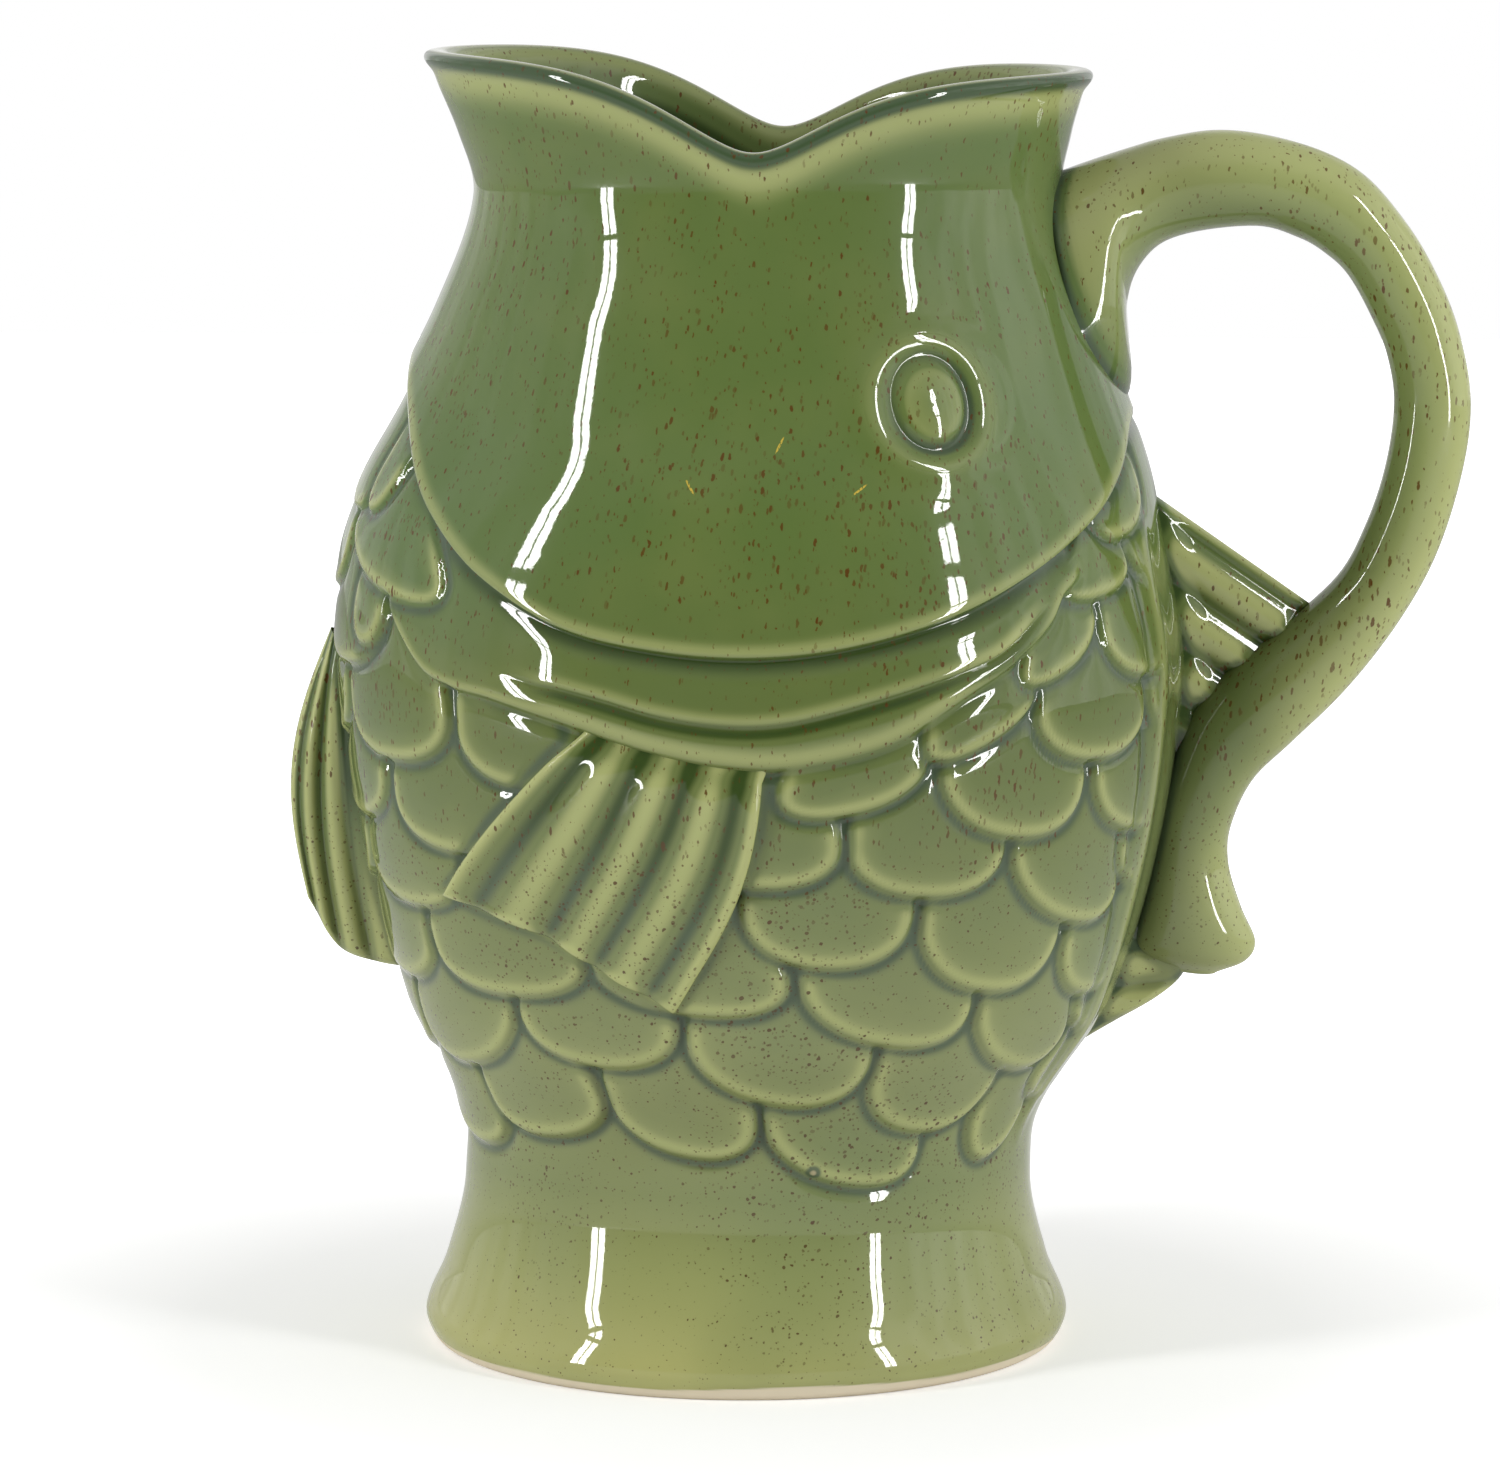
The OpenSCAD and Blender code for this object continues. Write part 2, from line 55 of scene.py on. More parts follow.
# The smooth body, in millimetres: height against half width, against depth ratio and against lean
HALF = [(0, 55.7), (5, 57.2), (14, 53.645), (29, 50.35), (44.13, 52.693), (62.019, 62.546), (88.007, 70.153),
        (118, 74.5), (132.025, 73.994), (152, 69.946), (167.98, 63.644), (183.96, 57.641), (203, 51.5),
        (214, 53.66), (225, 57.5), (247, 63.5)]
ROUND = [(0, 1), (29, 1), (73.5, 0.957), (118, 0.9463), (169, 0.9126), (203, 0.9126), (225, 0.8609),
         (247, 0.8609)]
LEAN = [(0, 0), (29, 0.342), (44.13, 1.14), (61.93, 2.47), (118, 2.622), (143.5, 1.368), (169, 3.23),
        (203, 3.8), (225, 2.66), (247, 2.66)]
JUG_H = 225
MOUTH_HALF = 57.5
WALL = 4.6
FLOOR_T = 8.0
FOOT_HOLLOW_H = 2.5


def curve(x, table):
    """Smooth curve through a table of places and values."""
    rows = np.asarray(table, float)
    xs, ys = rows[:, 0], rows[:, 1]
    slope = np.empty(len(xs))
    slope[1:-1] = (ys[2:] - ys[:-2]) / (xs[2:] - xs[:-2])
    slope[0] = (ys[1] - ys[0]) / (xs[1] - xs[0])
    slope[-1] = (ys[-1] - ys[-2]) / (xs[-1] - xs[-2])
    x = np.asarray(x, float)
    i = np.clip(np.searchsorted(xs, x, side="right") - 1, 0, len(xs) - 2)
    span = xs[i + 1] - xs[i]
    u = (x - xs[i]) / span
    return (ys[i] * (1 + 2 * u) * (1 - u) ** 2 + slope[i] * span * u * (1 - u) ** 2
            + ys[i + 1] * u * u * (3 - 2 * u) - slope[i + 1] * span * u * u * (1 - u))


def ease(x):
    """Smooth rise from 0 at 0 to 1 at 1."""
    x = np.clip(x, 0, 1)
    return x * x * (3 - 2 * x)


def step(x, low, high):
    """Smooth rise from 0 at low to 1 at high."""
    return ease((x - low) / (high - low))


def between(x, rise_from, rise_to, fall_from, fall_to):
    """Smooth rise from 0 to 1 and, further on, back to 0."""
    return step(x, rise_from, rise_to) * (1 - step(x, fall_from, fall_to))


def mix(a, b, t):
    """From a at t = 0 to b at t = 1."""
    return a + (b - a) * t


def hump(x, middle, width):
    """Bell of height 1 round its middle."""
    return np.exp(-((x - middle) / width) ** 2)


def rounding(inside, radius):
    """How far a rounded edge falls off, as a share of its radius, at a distance inside the edge."""
    return 1 - np.sqrt(1 - np.clip(1 - inside / radius, 0, 1) ** 2)


def turns(count):
    """Angles evenly round a circle."""
    return np.arange(count) * 360 / count


def skin(angle, z, out=0.0):
    """Point of the body's surface: the angle in degrees from the near flank towards the back."""
    a = np.radians(angle)
    half = curve(z, HALF)
    x = curve(z, LEAN) + (half + out) * np.sin(a)
    y = -(half * curve(z, ROUND) + out) * np.cos(a)
    return np.stack(np.broadcast_arrays(x, y, z * np.ones_like(a)), -1)


def fold(angle):
    """The angle on the near flank that the far flank mirrors, from -90 at the belly to 90 at the back."""
    return np.degrees(np.arcsin(np.clip(np.sin(np.radians(angle)), -1, 1)))


LIP_RISE, LIP_RISE_SHARE, LIP_SOFT = 3.45, 0.33, 0.0009
NOTCH_DEPTH, NOTCH_W, NOTCH_POWER, NOTCH_ROUND = 12.5, 20.2, 1.63, 1.2


def lip_z(angle):
    """The lip rises to the pouring tip and dips to a rounded notch on each flank."""
    s = np.sin(np.radians(angle))
    forward = (np.sqrt(s * s + LIP_SOFT) - s) / 2
    aside = np.sqrt((MOUTH_HALF * s) ** 2 + NOTCH_ROUND ** 2) - NOTCH_ROUND
    return (JUG_H + LIP_RISE * (1 - np.exp(-forward / LIP_RISE_SHARE))
            - NOTCH_DEPTH * np.exp(-np.power(aside / NOTCH_W, NOTCH_POWER)))


def out_of(points):
    """How far points lie outside the smooth body, level with it."""
    x, y, z = points[..., 0], points[..., 1], points[..., 2]
    dx = x - curve(z, LEAN)
    half = curve(z, HALF)
    r = np.hypot(dx, y) + TINY
    k = np.sqrt((dx / half) ** 2 + (y / (half * curve(z, ROUND))) ** 2) + TINY
    return r - r / k


# How deep the middle of the wall lies, and how near the axis points stay as they are
WALL_MIDDLE, NEAR_AXIS = 2.4, 20


def sink(points):
    """Points deeper than the middle of the wall are moved out to it, so that nothing shows inside."""
    p = np.array(points, float)
    out = out_of(p)
    centre = curve(p[..., 2], LEAN)
    dx, y = p[..., 0] - centre, p[..., 1]
    r = np.hypot(dx, y) + TINY
    scale = np.where(out < -WALL_MIDDLE, (r - out - WALL_MIDDLE) / r, 1.0)
    moved = r > NEAR_AXIS
    p[..., 0] = np.where(moved, centre + dx * scale, p[..., 0])
    p[..., 1] = np.where(moved, y * scale, p[..., 1])
    return p


# Edges on the near flank, as angle and height: the head and the two collars under it
HEAD = [(-90, 174.8), (-82, 173.4), (-74, 170.0), (-63.5, 163.4), (-47.5, 150.4), (-36, 141.4),
        (-22.9, 133.9), (-10, 130.7), (2.6, 129.8), (15, 131.3), (30, 135.8), (43, 141.8), (57.8, 150.2),
        (66, 155.7), (78, 162.8), (90, 165.4)]
UPPER = [(-90, 163), (-60, 147), (-40, 129.5), (-27.6, 124.6), (-23, 123.8), (-17, 122.2), (-11, 120.2),
         (-5, 118.9), (0.7, 118.4), (5.8, 118.8), (11, 120.1), (18, 122.4), (24, 124.4), (30, 126.6),
         (37, 129.8), (45, 136.5), (60, 147.5), (90, 160)]
LOWER = [(-90, 150), (-60, 142), (-55, 135.1), (-50, 128.4), (-46, 124.4), (-41, 122.4), (-34.3, 121.2),
         (-27, 119.0), (-21.2, 117.0), (-15.9, 115.0), (-9.8, 113.0), (-2.4, 111.4), (5, 110.9),
         (11, 111.8), (18, 113.8), (22.3, 115.9), (25.2, 118.0), (31.4, 122.6), (37.9, 126.8),
         (45.6, 133.5), (49.5, 138.6), (60, 145), (90, 157)]

# The scales: angle and height of the left corner, the tip and the right corner
SCALES = [
    (-86, 47, -66, 38, -52, 46), (-54.2, 48.5, -37.9, 42.6, -24.6, 51.6),
    (-23.8, 51.6, -8.7, 41.2, 3.8, 47.9), (4.8, 48.4, 23.5, 35.7, 37.5, 43.6),
    (49.1, 43.9, 59.5, 37.6, 66.2, 49.4), (22.1, 57.2, 35.3, 44.5, 49.8, 53.1), (62, 52, 74, 46, 86, 52),
    (-8.2, 65.2, 5.9, 51.4, 21.6, 58.9), (-69.4, 62, -55.6, 53.7, -37.9, 66.4), (-96, 62, -84, 52.5, -69, 62),
    (38.2, 67.6, 51.2, 54.6, 63.5, 61.1), (-37.3, 66.6, -23.4, 57.3, -9.6, 65.5), (62.5, 66, 74, 58, 87, 64),
    (8.8, 74.9, 23.2, 61.8, 37.5, 68.7), (53.8, 78.7, 63.2, 66.4, 76, 74.7),
    (-23.5, 77.3, -5.6, 67.7, 7.0, 75.5), (-54.2, 75.1, -36.7, 68.8, -23.5, 77.3),
    (-84, 76, -70, 67.5, -55, 76), (26.1, 86.0, 38.2, 70.4, 52.8, 80.3), (76, 84, 88, 75, 99, 84),
    (0.1, 87.9, 12.5, 76.2, 25.1, 86.1), (39.6, 95.6, 53.8, 80.7, 66, 88.4), (-73, 91, -59, 82, -44, 90),
    (-99, 92, -87, 82.5, -74, 91), (64, 93, 76, 84, 90, 92), (14.7, 98.9, 26.3, 88.1, 38.9, 96.6),
    (-10, 100, 3.7, 90.4, 13.8, 100), (-58, 102.4, -42.7, 93.2, -28.5, 102.8),
    (-87, 104, -74, 95.5, -60, 104), (54.4, 107.7, 65.8, 95.2, 78, 104),
    (27.2, 111.5, 39.8, 97.3, 52.7, 107.4), (5.5, 108.3, 14.2, 102.9, 26.0, 112.1),
    (-41.4, 116.2, -30.6, 106.1, -20.7, 114.5), (-71, 117, -55.9, 107.8, -42.5, 118.0),
    (-100, 118, -87, 108.5, -73, 117), (41.8, 120.3, 53.9, 109.2, 67.3, 118.9), (67, 121, 78, 111, 90, 119),
    (25.0, 113.6, 34.4, 114.2, 42.0, 123.6), (-86, 131, -73, 122.5, -57, 131),
    (55.9, 134.0, 64.5, 122.4, 77, 131), (39.6, 126.9, 45.8, 124.3, 55.2, 133.4),
    (-67.5, 135, -62.5, 126.9, -56.3, 135.5), (-99, 143, -86, 134.5, -75, 143),
    (49.2, 139.9, 56.4, 136.5, 66.2, 141.6), (66, 147, 77, 136.5, 88, 145)]
# Each scale lies over those below it
SCALES.sort(key=lambda corners: corners[3])
# These lie over the end of the collars
OVER = [
    (-74.5, 147.9, -55.7, 136.4, -43.4, 141.2), (-86, 160, -77, 149, -66.5, 158),
    (-70.5, 158.8, -65.9, 149.4, -59.6, 161.5), (57.5, 151.6, 66.5, 146, 76, 155)]
# How far a scale stands out at its tip, and how much less for each millimetre above it
SCALE_LIFT, SCALE_FALL = 0.5, 0.07
# How round its free edge is, how far its sides flare, and how many drops it reaches above its corners
OUTLINE_POWER, SIDE_FLARE, SCALE_REACH = 2.25, 0.12, 2.3
# Its crown, the roll along its edge, and the rounding of the edge
CROWN_H, CROWN_RUN = 0.38, 9
ROLL_H, ROLL_IN, ROLL_W = 0.10, 1.7, 1.1
EDGE_DROP, EDGE_R = 0.85, 1.5
# The groove round it, and how far it may lie under what it covers
GROOVE_H, GROOVE_OUT, GROOVE_W, GROOVE_REACH = 0.36, 0.3, 1.5, 8
SINK_MOST = 0.6
FAR = 99.0


def scale_rise(angle, z, corners):
    """How far one scale stands out, and the distance to its outline, negative inside it."""
    middle_z = sum(corners[1::2]) / 3
    per = math.radians(1) * float(curve(middle_z, HALF)) * (1 + float(curve(middle_z, ROUND))) / 2
    left, tip, right = np.reshape(corners, (3, 2)) * [per, 1]
    centre = (left + right) / 2
    arm, drop = (right - left) / 2, tip - centre
    det = arm[0] * drop[1] - arm[1] * drop[0]
    u, v = angle * per - centre[0], z - centre[1]
    s = (u * drop[1] - v * drop[0]) / det
    t = (arm[0] * v - arm[1] * u) / det
    low, k = t > 0, OUTLINE_POWER
    e = np.where(low, (np.abs(s) ** k + np.abs(t) ** k) ** (1 / k), np.abs(s) * (1 + SIDE_FLARE * t * t))
    # The slope of e turns it into a distance in millimetres
    es = np.where(low, np.sign(s) * (np.abs(s) / (e + 1e-6)) ** (k - 1), np.sign(s))
    et = np.where(low, (np.abs(t) / (e + 1e-6)) ** (k - 1), 0.0)
    grow_x = (es * drop[1] - et * arm[1]) / det
    grow_z = (-es * drop[0] + et * arm[0]) / det
    d = (e - 1) / (np.hypot(grow_x, grow_z) + 1e-6)
    up = (1 - t) * float(np.hypot(*drop))
    inside = np.clip(-d, 0, None)
    crown = CROWN_H * (1 - np.clip(np.abs(s), 0, 1) ** 2) * ease(up / CROWN_RUN)
    rise = (SCALE_LIFT - SCALE_FALL * up + crown + ROLL_H * hump(inside, ROLL_IN, ROLL_W)
            - EDGE_DROP * rounding(inside, EDGE_R))
    return rise, np.where(t > -SCALE_REACH, d, FAR)


def lay(h, tone, angle, z, corners):
    """Lays one scale over the relief so far, and glazes its edge: light on the rim, dark beside it."""
    rise, d = scale_rise(angle, z, corners)
    out, inside = np.clip(d, 0, None), np.clip(-d, 0, None)
    beside = d < GROOVE_REACH
    h = h - GROOVE_H * hump(out, GROOVE_OUT, GROOVE_W) * beside
    tone = tone * (1 - 0.8 * hump(out, 0, 1.7) * beside) - 0.9 * hump(out, 0.6, 1.25) * beside
    cover = step(-d, -0.85, 0.65)
    own = 0.5 * hump(inside, 1.5, 1.2) + 0.22 * hump(inside, 3.0, 3.0) - 0.18 * step(inside, 5, 13)
    return mix(h, np.maximum(rise, h - SINK_MOST), cover), mix(tone, own, cover)


def squared_to(angle, table, z):
    """Turns a height above a slanted edge into a distance from it."""
    climb = (curve(angle + 1, table) - curve(angle - 1, table)) / 2
    return 1 / np.sqrt(1 + (climb / (math.radians(1) * curve(z, HALF))) ** 2)


EYE_ANGLE, EYE_Z, EYE_R = 29.5, 171.0, 13.2
EYE_AT = skin(EYE_ANGLE, EYE_Z)
# Relief by the distance from its middle: dome, groove and raised ring
EYE_PROFILE = [(0, 2.1), (2.5, 2.0), (4.8, 1.6), (6.4, 1.0), (7.3, 0.35), (8.0, 0.0), (8.7, 0.14),
               (9.5, 0.46), (10.4, 0.78), (11.4, 0.92), (12.6, 0.84), (14, 0.5), (15.5, 0.18), (17, 0.03),
               (18, 0), (40, 0)]
RING_CREST, RING_REACH = 11.4, 18


def eye_radius(angle, z):
    """Distance from the middle of the eye, which is taller than wide inside its round ring."""
    away = skin(angle, z) - EYE_AT
    a = math.radians(EYE_ANGLE)
    across = away[..., 0] * math.cos(a) + away[..., 1] * math.sin(a)
    up = np.sqrt(np.clip((away ** 2).sum(-1) - across ** 2, 0, None))
    ring = step(np.hypot(across, up), 7, 11.5)
    return np.hypot(across / mix(0.86, 0.97, ring), up / mix(1.03, 0.97, ring))


# The flank's fin: its root and tip line as angle and height, and its bulge towards the back
PECTORAL_ROOT = [[-22, 115.43], [-9, 112.5], [3.5, 108.7]]
PECTORAL_TIP = [[-47.5, 85.7], [-30, 80.96], [-20, 74.9], [-9.5, 68.4]]
PECTORAL_BULGE = 3


def pectoral_bed(h, tone, angle, z):
    """Flattens the scales under the fin on the flank and paints shadow in the groove round it."""
    def edge_angle(low, high):
        return np.interp(z, [low[1], high[1]], [low[0], high[0]])

    low, high = PECTORAL_TIP[-1], PECTORAL_ROOT[-1]
    bulge = PECTORAL_BULGE * np.sin(np.pi * np.clip((z - low[1]) / (high[1] - low[1]), 0, 1))
    # How far inside its outline a place lies, in millimetres
    from_left = (angle - edge_angle(PECTORAL_TIP[0], PECTORAL_ROOT[0])) * 0.93
    from_right = (edge_angle(low, high) + bulge - angle) * 1.24
    over_tip = (z - np.interp(angle, *np.transpose(PECTORAL_TIP))) * 0.85
    there = step(over_tip, 0.4, 2.0) * step(from_left, 0.4, 2.0) * step(from_right, 0.4, 2.0)
    h = mix(h, np.minimum(h, -0.5), there)
    # Painted shadow beside the fin's edges and under its tip
    dark = 0.95 * hump(from_left, -1.1, 1.3) * step(over_tip, -1, 2)
    dark = dark + 0.6 * hump(from_right, -0.6, 0.9) * step(over_tip, -1, 2)
    dark = dark + 0.6 * hump(over_tip, -0.7, 0.9) * step(from_left, -1, 1) * step(from_right, -1, 1)
    return h - 0.1 * dark, tone * (1 - 0.6 * np.clip(dark, 0, 1)) - 0.9 * dark


def back_strip(h, tone, angle, z):
    """The smooth strip along the back, with a groove beside it."""
    strip = step(angle, 67.5, 71.5) * step(z, 34, 50)
    beside = hump(angle, 67.0, 1.3) * step(z, 40, 56)
    return (mix(h - 0.45 * beside, 0.1 + 0.5 * hump(angle, 72.5, 2.4), strip),
            mix(tone - 0.5 * beside, 0.45 * hump(angle, 71.5, 1.6), strip))


# Where the collars run out towards belly and back, and where the broad band splits in two
COLLAR_ENDS = (-59, -54, 50.5, 54)
PAIR_ENDS = (-33, -22, 38, 47)


def collars(h, tone, angle, z):
    """The collars over the scales: one broad band towards the ends, two between, with painted shade under the
    lower edge.
    """
    head, upper, lower = (curve(angle, table) for table in (HEAD, UPPER, LOWER))
    over_lower = (z - lower) * squared_to(angle, LOWER, z)
    over_upper = (z - upper) * squared_to(angle, UPPER, z)
    share = np.clip((z - lower) / np.clip(head - lower, 4, None), 0, 1)
    single = 0.95 - 1.3 * ease(share * 1.05) + 0.22 * hump(over_lower, 2.4, 2.0)
    share_upper = np.clip((z - upper) / np.clip(head - upper, 3, None), 0, 1)
    upper_face = 1.4 - 0.9 * share_upper ** 0.9 - 0.75 * ease((share_upper - 0.55) / 0.45)
    upper_face = upper_face - 0.9 * rounding(over_upper, 1.5) * (over_upper > -0.5)
    share_lower = np.clip((z - lower) / np.clip(upper - lower, 2, None), 0, 1)
    lower_face = -0.35 + 1.5 * np.sin(np.pi * np.clip(1.02 - share_lower, 0, 1) ** 0.8 * 0.86)
    double = mix(lower_face, upper_face, step(over_upper, -0.4, 0.4))
    pair = between(angle, *PAIR_ENDS)
    single_tone = 0.5 * hump(over_lower, 1.1, 1.1) + 0.15 * hump(over_lower, 4, 3)
    double_tone = (0.62 * hump(over_lower, 2.2, 2.1) - 0.95 * hump(over_upper, -1.15, 1.05)
                   + 0.5 * hump(over_upper, 1.3, 1.35))
    there = between(angle, *COLLAR_ENDS)
    # Under the lower collar's edge the surface dips, and painted shade darkens it
    below = hump(np.clip(-over_lower, 0, None), 0, 1.5) * there * (over_lower < 3)
    cover = step(over_lower, -0.9, 0.9) * there
    return (mix(h - 0.45 * below, mix(single, double, pair), cover),
            mix(tone - 0.5 * below, mix(single_tone, double_tone, pair), cover))


# Soft hollows and swells of the head: how far out, then angle and height, each with its spread
CHEEKS = [(-0.35, 52, 7, 178, 22), (0.15, 64, 8, 182, 20), (-0.25, -41, 4, 199, 9)]


def head_over(h, tone, angle, z):
    """The head over the collars, with painted shadow under its edge; the edge runs out towards the back."""
    over_head = (z - curve(angle, HEAD)) * squared_to(angle, HEAD, z)
    tall = np.clip(over_head, 0, None)
    edge_h = 1 - 0.7 * step(angle, 58, 84)
    face = (1.4 * np.exp(-((tall / 8.5) ** 1.3)) - 0.75 * rounding(tall, 1.6)) * edge_h
    for out, at_angle, angle_spread, at_z, z_spread in CHEEKS:
        face = face + out * hump(angle, at_angle, angle_spread) * hump(z, at_z, z_spread)
    low_part = np.clip(-over_head, 0, None)
    below = hump(low_part, 0, 2.1) * (over_head < 2)
    # Painted shadow that the head's edge casts on the collar below it
    shade = hump(low_part, 0.5, 2.3) * (over_head < 2)
    cover = step(over_head, -0.5, 0.45)
    return (mix(h - 0.5 * below, face, cover),
            mix(tone * (1 - 0.7 * shade) - 0.9 * shade, 0.55 * hump(over_head, 1.3, 1.5), cover))


def eye_relief(h, tone, angle, z):
    """The dome of the eye with the raised ring round it."""
    r = np.clip(eye_radius(angle, z), 0, EYE_PROFILE[-1][0])
    near = r < RING_REACH
    return (np.where(near, h + curve(r, EYE_PROFILE), h),
            np.where(near, tone + 0.3 * hump(r, RING_CREST, 2.0), tone))


# The bed of the scales: how deep it lies, and between which heights it starts
BED_DEPTH, BED_FROM, BED_FULL = 1.1, 30, 44


def surface(angle, z):
    """How far the glazed surface stands out from the smooth body, and its tone; angle is a folded one."""
    angle, z = np.broadcast_arrays(np.asarray(angle, float), np.asarray(z, float))
    h = -BED_DEPTH * step(z, BED_FROM, BED_FULL)
    tone = np.zeros_like(h)
    for corners in SCALES:
        h, tone = lay(h, tone, angle, z, corners)
    for add_form in (pectoral_bed, back_strip, collars):
        h, tone = add_form(h, tone, angle, z)
    for corners in OVER:
        h, tone = lay(h, tone, angle, z, corners)
    for add_form in (head_over, eye_relief):
        h, tone = add_form(h, tone, angle, z)
    return h, np.clip(tone, -1, 1)


def coolness(angle, z):
    """Grooves pool green at the collars and grey elsewhere."""
    f = fold(angle)
    edge = curve(f, LOWER)
    return 1 - step(z, edge - 4, edge + 2) * (1 - step(np.abs(f), 30, 46))


def glaze(count, tone=0.0, rim=0.0, bare=0.0, cool=1.0):
    """What the glaze material reads at each of so many points."""
    return np.stack([np.broadcast_to(np.ravel(v), count).astype(float) for v in (tone, rim, bare, cool)], -1)


class Rings:
    """Rows of points closed in rings, stacked into one mesh, with values for the glaze at every point."""

    def __init__(self):
        self.points, self.faces, self.values, self.count, self.last = [], [], [], 0, None

    def add(self, row, tone=0.0, rim=0.0, bare=0.0, cool=1.0):
        """Adds a ring and joins it to the last one; either may have a multiple of the other's points."""
        n = len(row)
        start = self.count
        self.points.append(np.asarray(row, float))
        self.values.append(glaze(n, tone, rim, bare, cool))
        if self.last is not None:
            before, m = self.last
            if m == n:
                i = np.arange(n)
                j = (i + 1) % n
                self.faces += np.stack([before + i, before + j, start + j, start + i], -1).tolist()
            elif m > n:
                k = m // n
                for i in range(n):
                    fan = [before + (i * k + q) % m for q in range(k + 1)]
                    self.faces.append([start + i] + fan + [start + (i + 1) % n])
            else:
                k = n // m
                for i in range(m):
                    fan = [start + (i * k + q) % n for q in range(k, -1, -1)]
                    self.faces.append([before + i, before + (i + 1) % m] + fan)
        self.last = (start, n)
        self.count += n

    def close(self, point, ring, flip=False, tone=0.0, bare=0.0, cool=1.0):
        """Closes a ring, given by its first point and its length, on a single point."""
        start, n = ring
        self.points.append(np.asarray([point], float))
        self.values.append(glaze(1, tone, 0.0, bare, cool))
        for i in range(n):
            face = [start + i, start + (i + 1) % n, self.count]
            self.faces.append(face[::-1] if flip else face)
        self.count += 1

    def make(self, name, node, side=1):
        """The piece that the rings add up to, or with side -1 its mirror image on the far flank."""
        points = np.concatenate(self.points) * [1, side, 1]
        faces = self.faces if side > 0 else [face[::-1] for face in self.faces]
        return make(name, points, faces, np.concatenate(self.values), node)


def put(name, data):
    """A new object in the scene."""
    thing = bpy.data.objects.new(name, data)
    bpy.context.scene.collection.objects.link(thing)
    return thing


def make(name, points, faces, values, node):
    """A smooth mesh from points in millimetres, that rides on the row and stands for its node."""
    mesh = bpy.data.meshes.new(name)
    mesh.from_pydata((points * MM).tolist(), [], faces)
    mesh.validate()
    mesh.polygons.foreach_set("use_smooth", np.ones(len(mesh.polygons), bool))
    for k, key in enumerate(("tone", "rim", "bare", "cool")):
        layer = mesh.attributes.new(key, "FLOAT", "POINT")
        layer.data.foreach_set("value", values[:, k].astype(np.float32))
    mesh.materials.append(GLAZE)
    piece = put(name, mesh)
    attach(piece, "root")
    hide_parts(node)
    return piece


def grid_faces(rows, cols, start=0, flip=False):
    """Squares between the rows and columns of a grid of points."""
    i, j = np.meshgrid(np.arange(rows - 1), np.arange(cols - 1), indexing="ij")
    a = start + i * cols + j
    faces = np.stack([a, a + 1, a + cols + 1, a + cols], -1).reshape(-1, 4)
    return (faces[:, ::-1] if flip else faces).tolist()


def srgb(r, g, b):
    """Linear colour from one as seen on a screen."""
    return tuple(c / 12.92 if c <= 0.04045 else ((c + 0.055) / 1.055) ** 2.4 for c in (r, g, b))


WHITE = (1, 1, 1)
# Colours of the plain glaze from the foot up: height in metres and colour
GLAZE_BY_HEIGHT = [(0.006, srgb(0.65, 0.65, 0.41)), (0.020, srgb(0.575, 0.595, 0.37)),
                   (0.034, srgb(0.48, 0.515, 0.325)), (0.060, srgb(0.51, 0.54, 0.355)),
                   (0.090, srgb(0.43, 0.475, 0.29)), (0.120, srgb(0.37, 0.425, 0.225)),
                   (0.150, srgb(0.352, 0.432, 0.215)), (0.215, srgb(0.362, 0.435, 0.225))]
WARM = srgb(0.50, 0.52, 0.29)
COOL_PLAIN = srgb(0.36, 0.45, 0.30)
RIDGE = srgb(0.67, 0.69, 0.45)
GROOVE_GREEN = srgb(0.17, 0.25, 0.07)
GROOVE_GREY = srgb(0.27, 0.33, 0.26)
RIM = srgb(0.25, 0.325, 0.21)
# Painted shade for the inside of the hollow
PAINTED_SHADE = srgb(0.12, 0.09, 0.035)
SPECK_HIGH = srgb(0.34, 0.20, 0.05)
SPECK_LOW = srgb(0.31, 0.22, 0.13)
CLAY = srgb(0.86, 0.815, 0.72)
GOLD = srgb(0.80, 0.68, 0.26)
# Clouds in the glaze: scale, detail and roughness of the noise, where it starts, strength and colour
CLOUDS = [(30.0, 3.0, 0.55, 0.42, 0.18, WARM), (13.0, 2.0, 0.5, 0.45, 0.3, COOL_PLAIN)]
CLOUD_FULL = 0.7
# Specks: cells per metre, largest radius as a share of a cell, and strength
SPECKS = [(620.0, 0.28, 0.95), (900.0, 0.36, 0.9), (1300.0, 0.40, 0.8)]
SPECK_EDGE = 0.06
# Above that height, heights count by that share only, which draws the specks out
SPECK_RUN_FROM, SPECK_RUN = 0.095, 0.38
# Pinholes in the glaze: where and in what colour, and the radii over which hole and halo fade
PINHOLES = [((0.0145, -0.0489, 0.0388), srgb(0.66, 0.62, 0.48)),
            ((0.0333, -0.0401, 0.0416), srgb(0.24, 0.24, 0.18))]
HOLE_RADII, HALO_RADII = (0.0004, 0.0008), (0.0010, 0.0017)
# Small golden streaks: where and which way they run in the picture's plane, and half their length and width
GOLD_STREAKS = [((0.0093, -0.0592, 0.1646), (0.45, 0.9)), ((-0.0056, -0.0619, 0.1578), (0.5, -0.85)),
             ((0.0227, -0.0596, 0.1572), (0.8, 0.6))]
GOLD_STREAK_LONG, GOLD_STREAK_WIDE = 0.0016, 0.00022
GLAZE_ROUGH, CLAY_ROUGH, GLAZE_IOR = 0.03, 0.85, 1.5
# Waves in the glaze: the bump's strength and depth, two noise scales and the finer one's share
WAVE_STRENGTH, WAVE_DEPTH, WAVE_SCALE, FINE_SCALE, FINE_SHARE = 0.3, 0.00012, 80.0, 900.0, 0.07


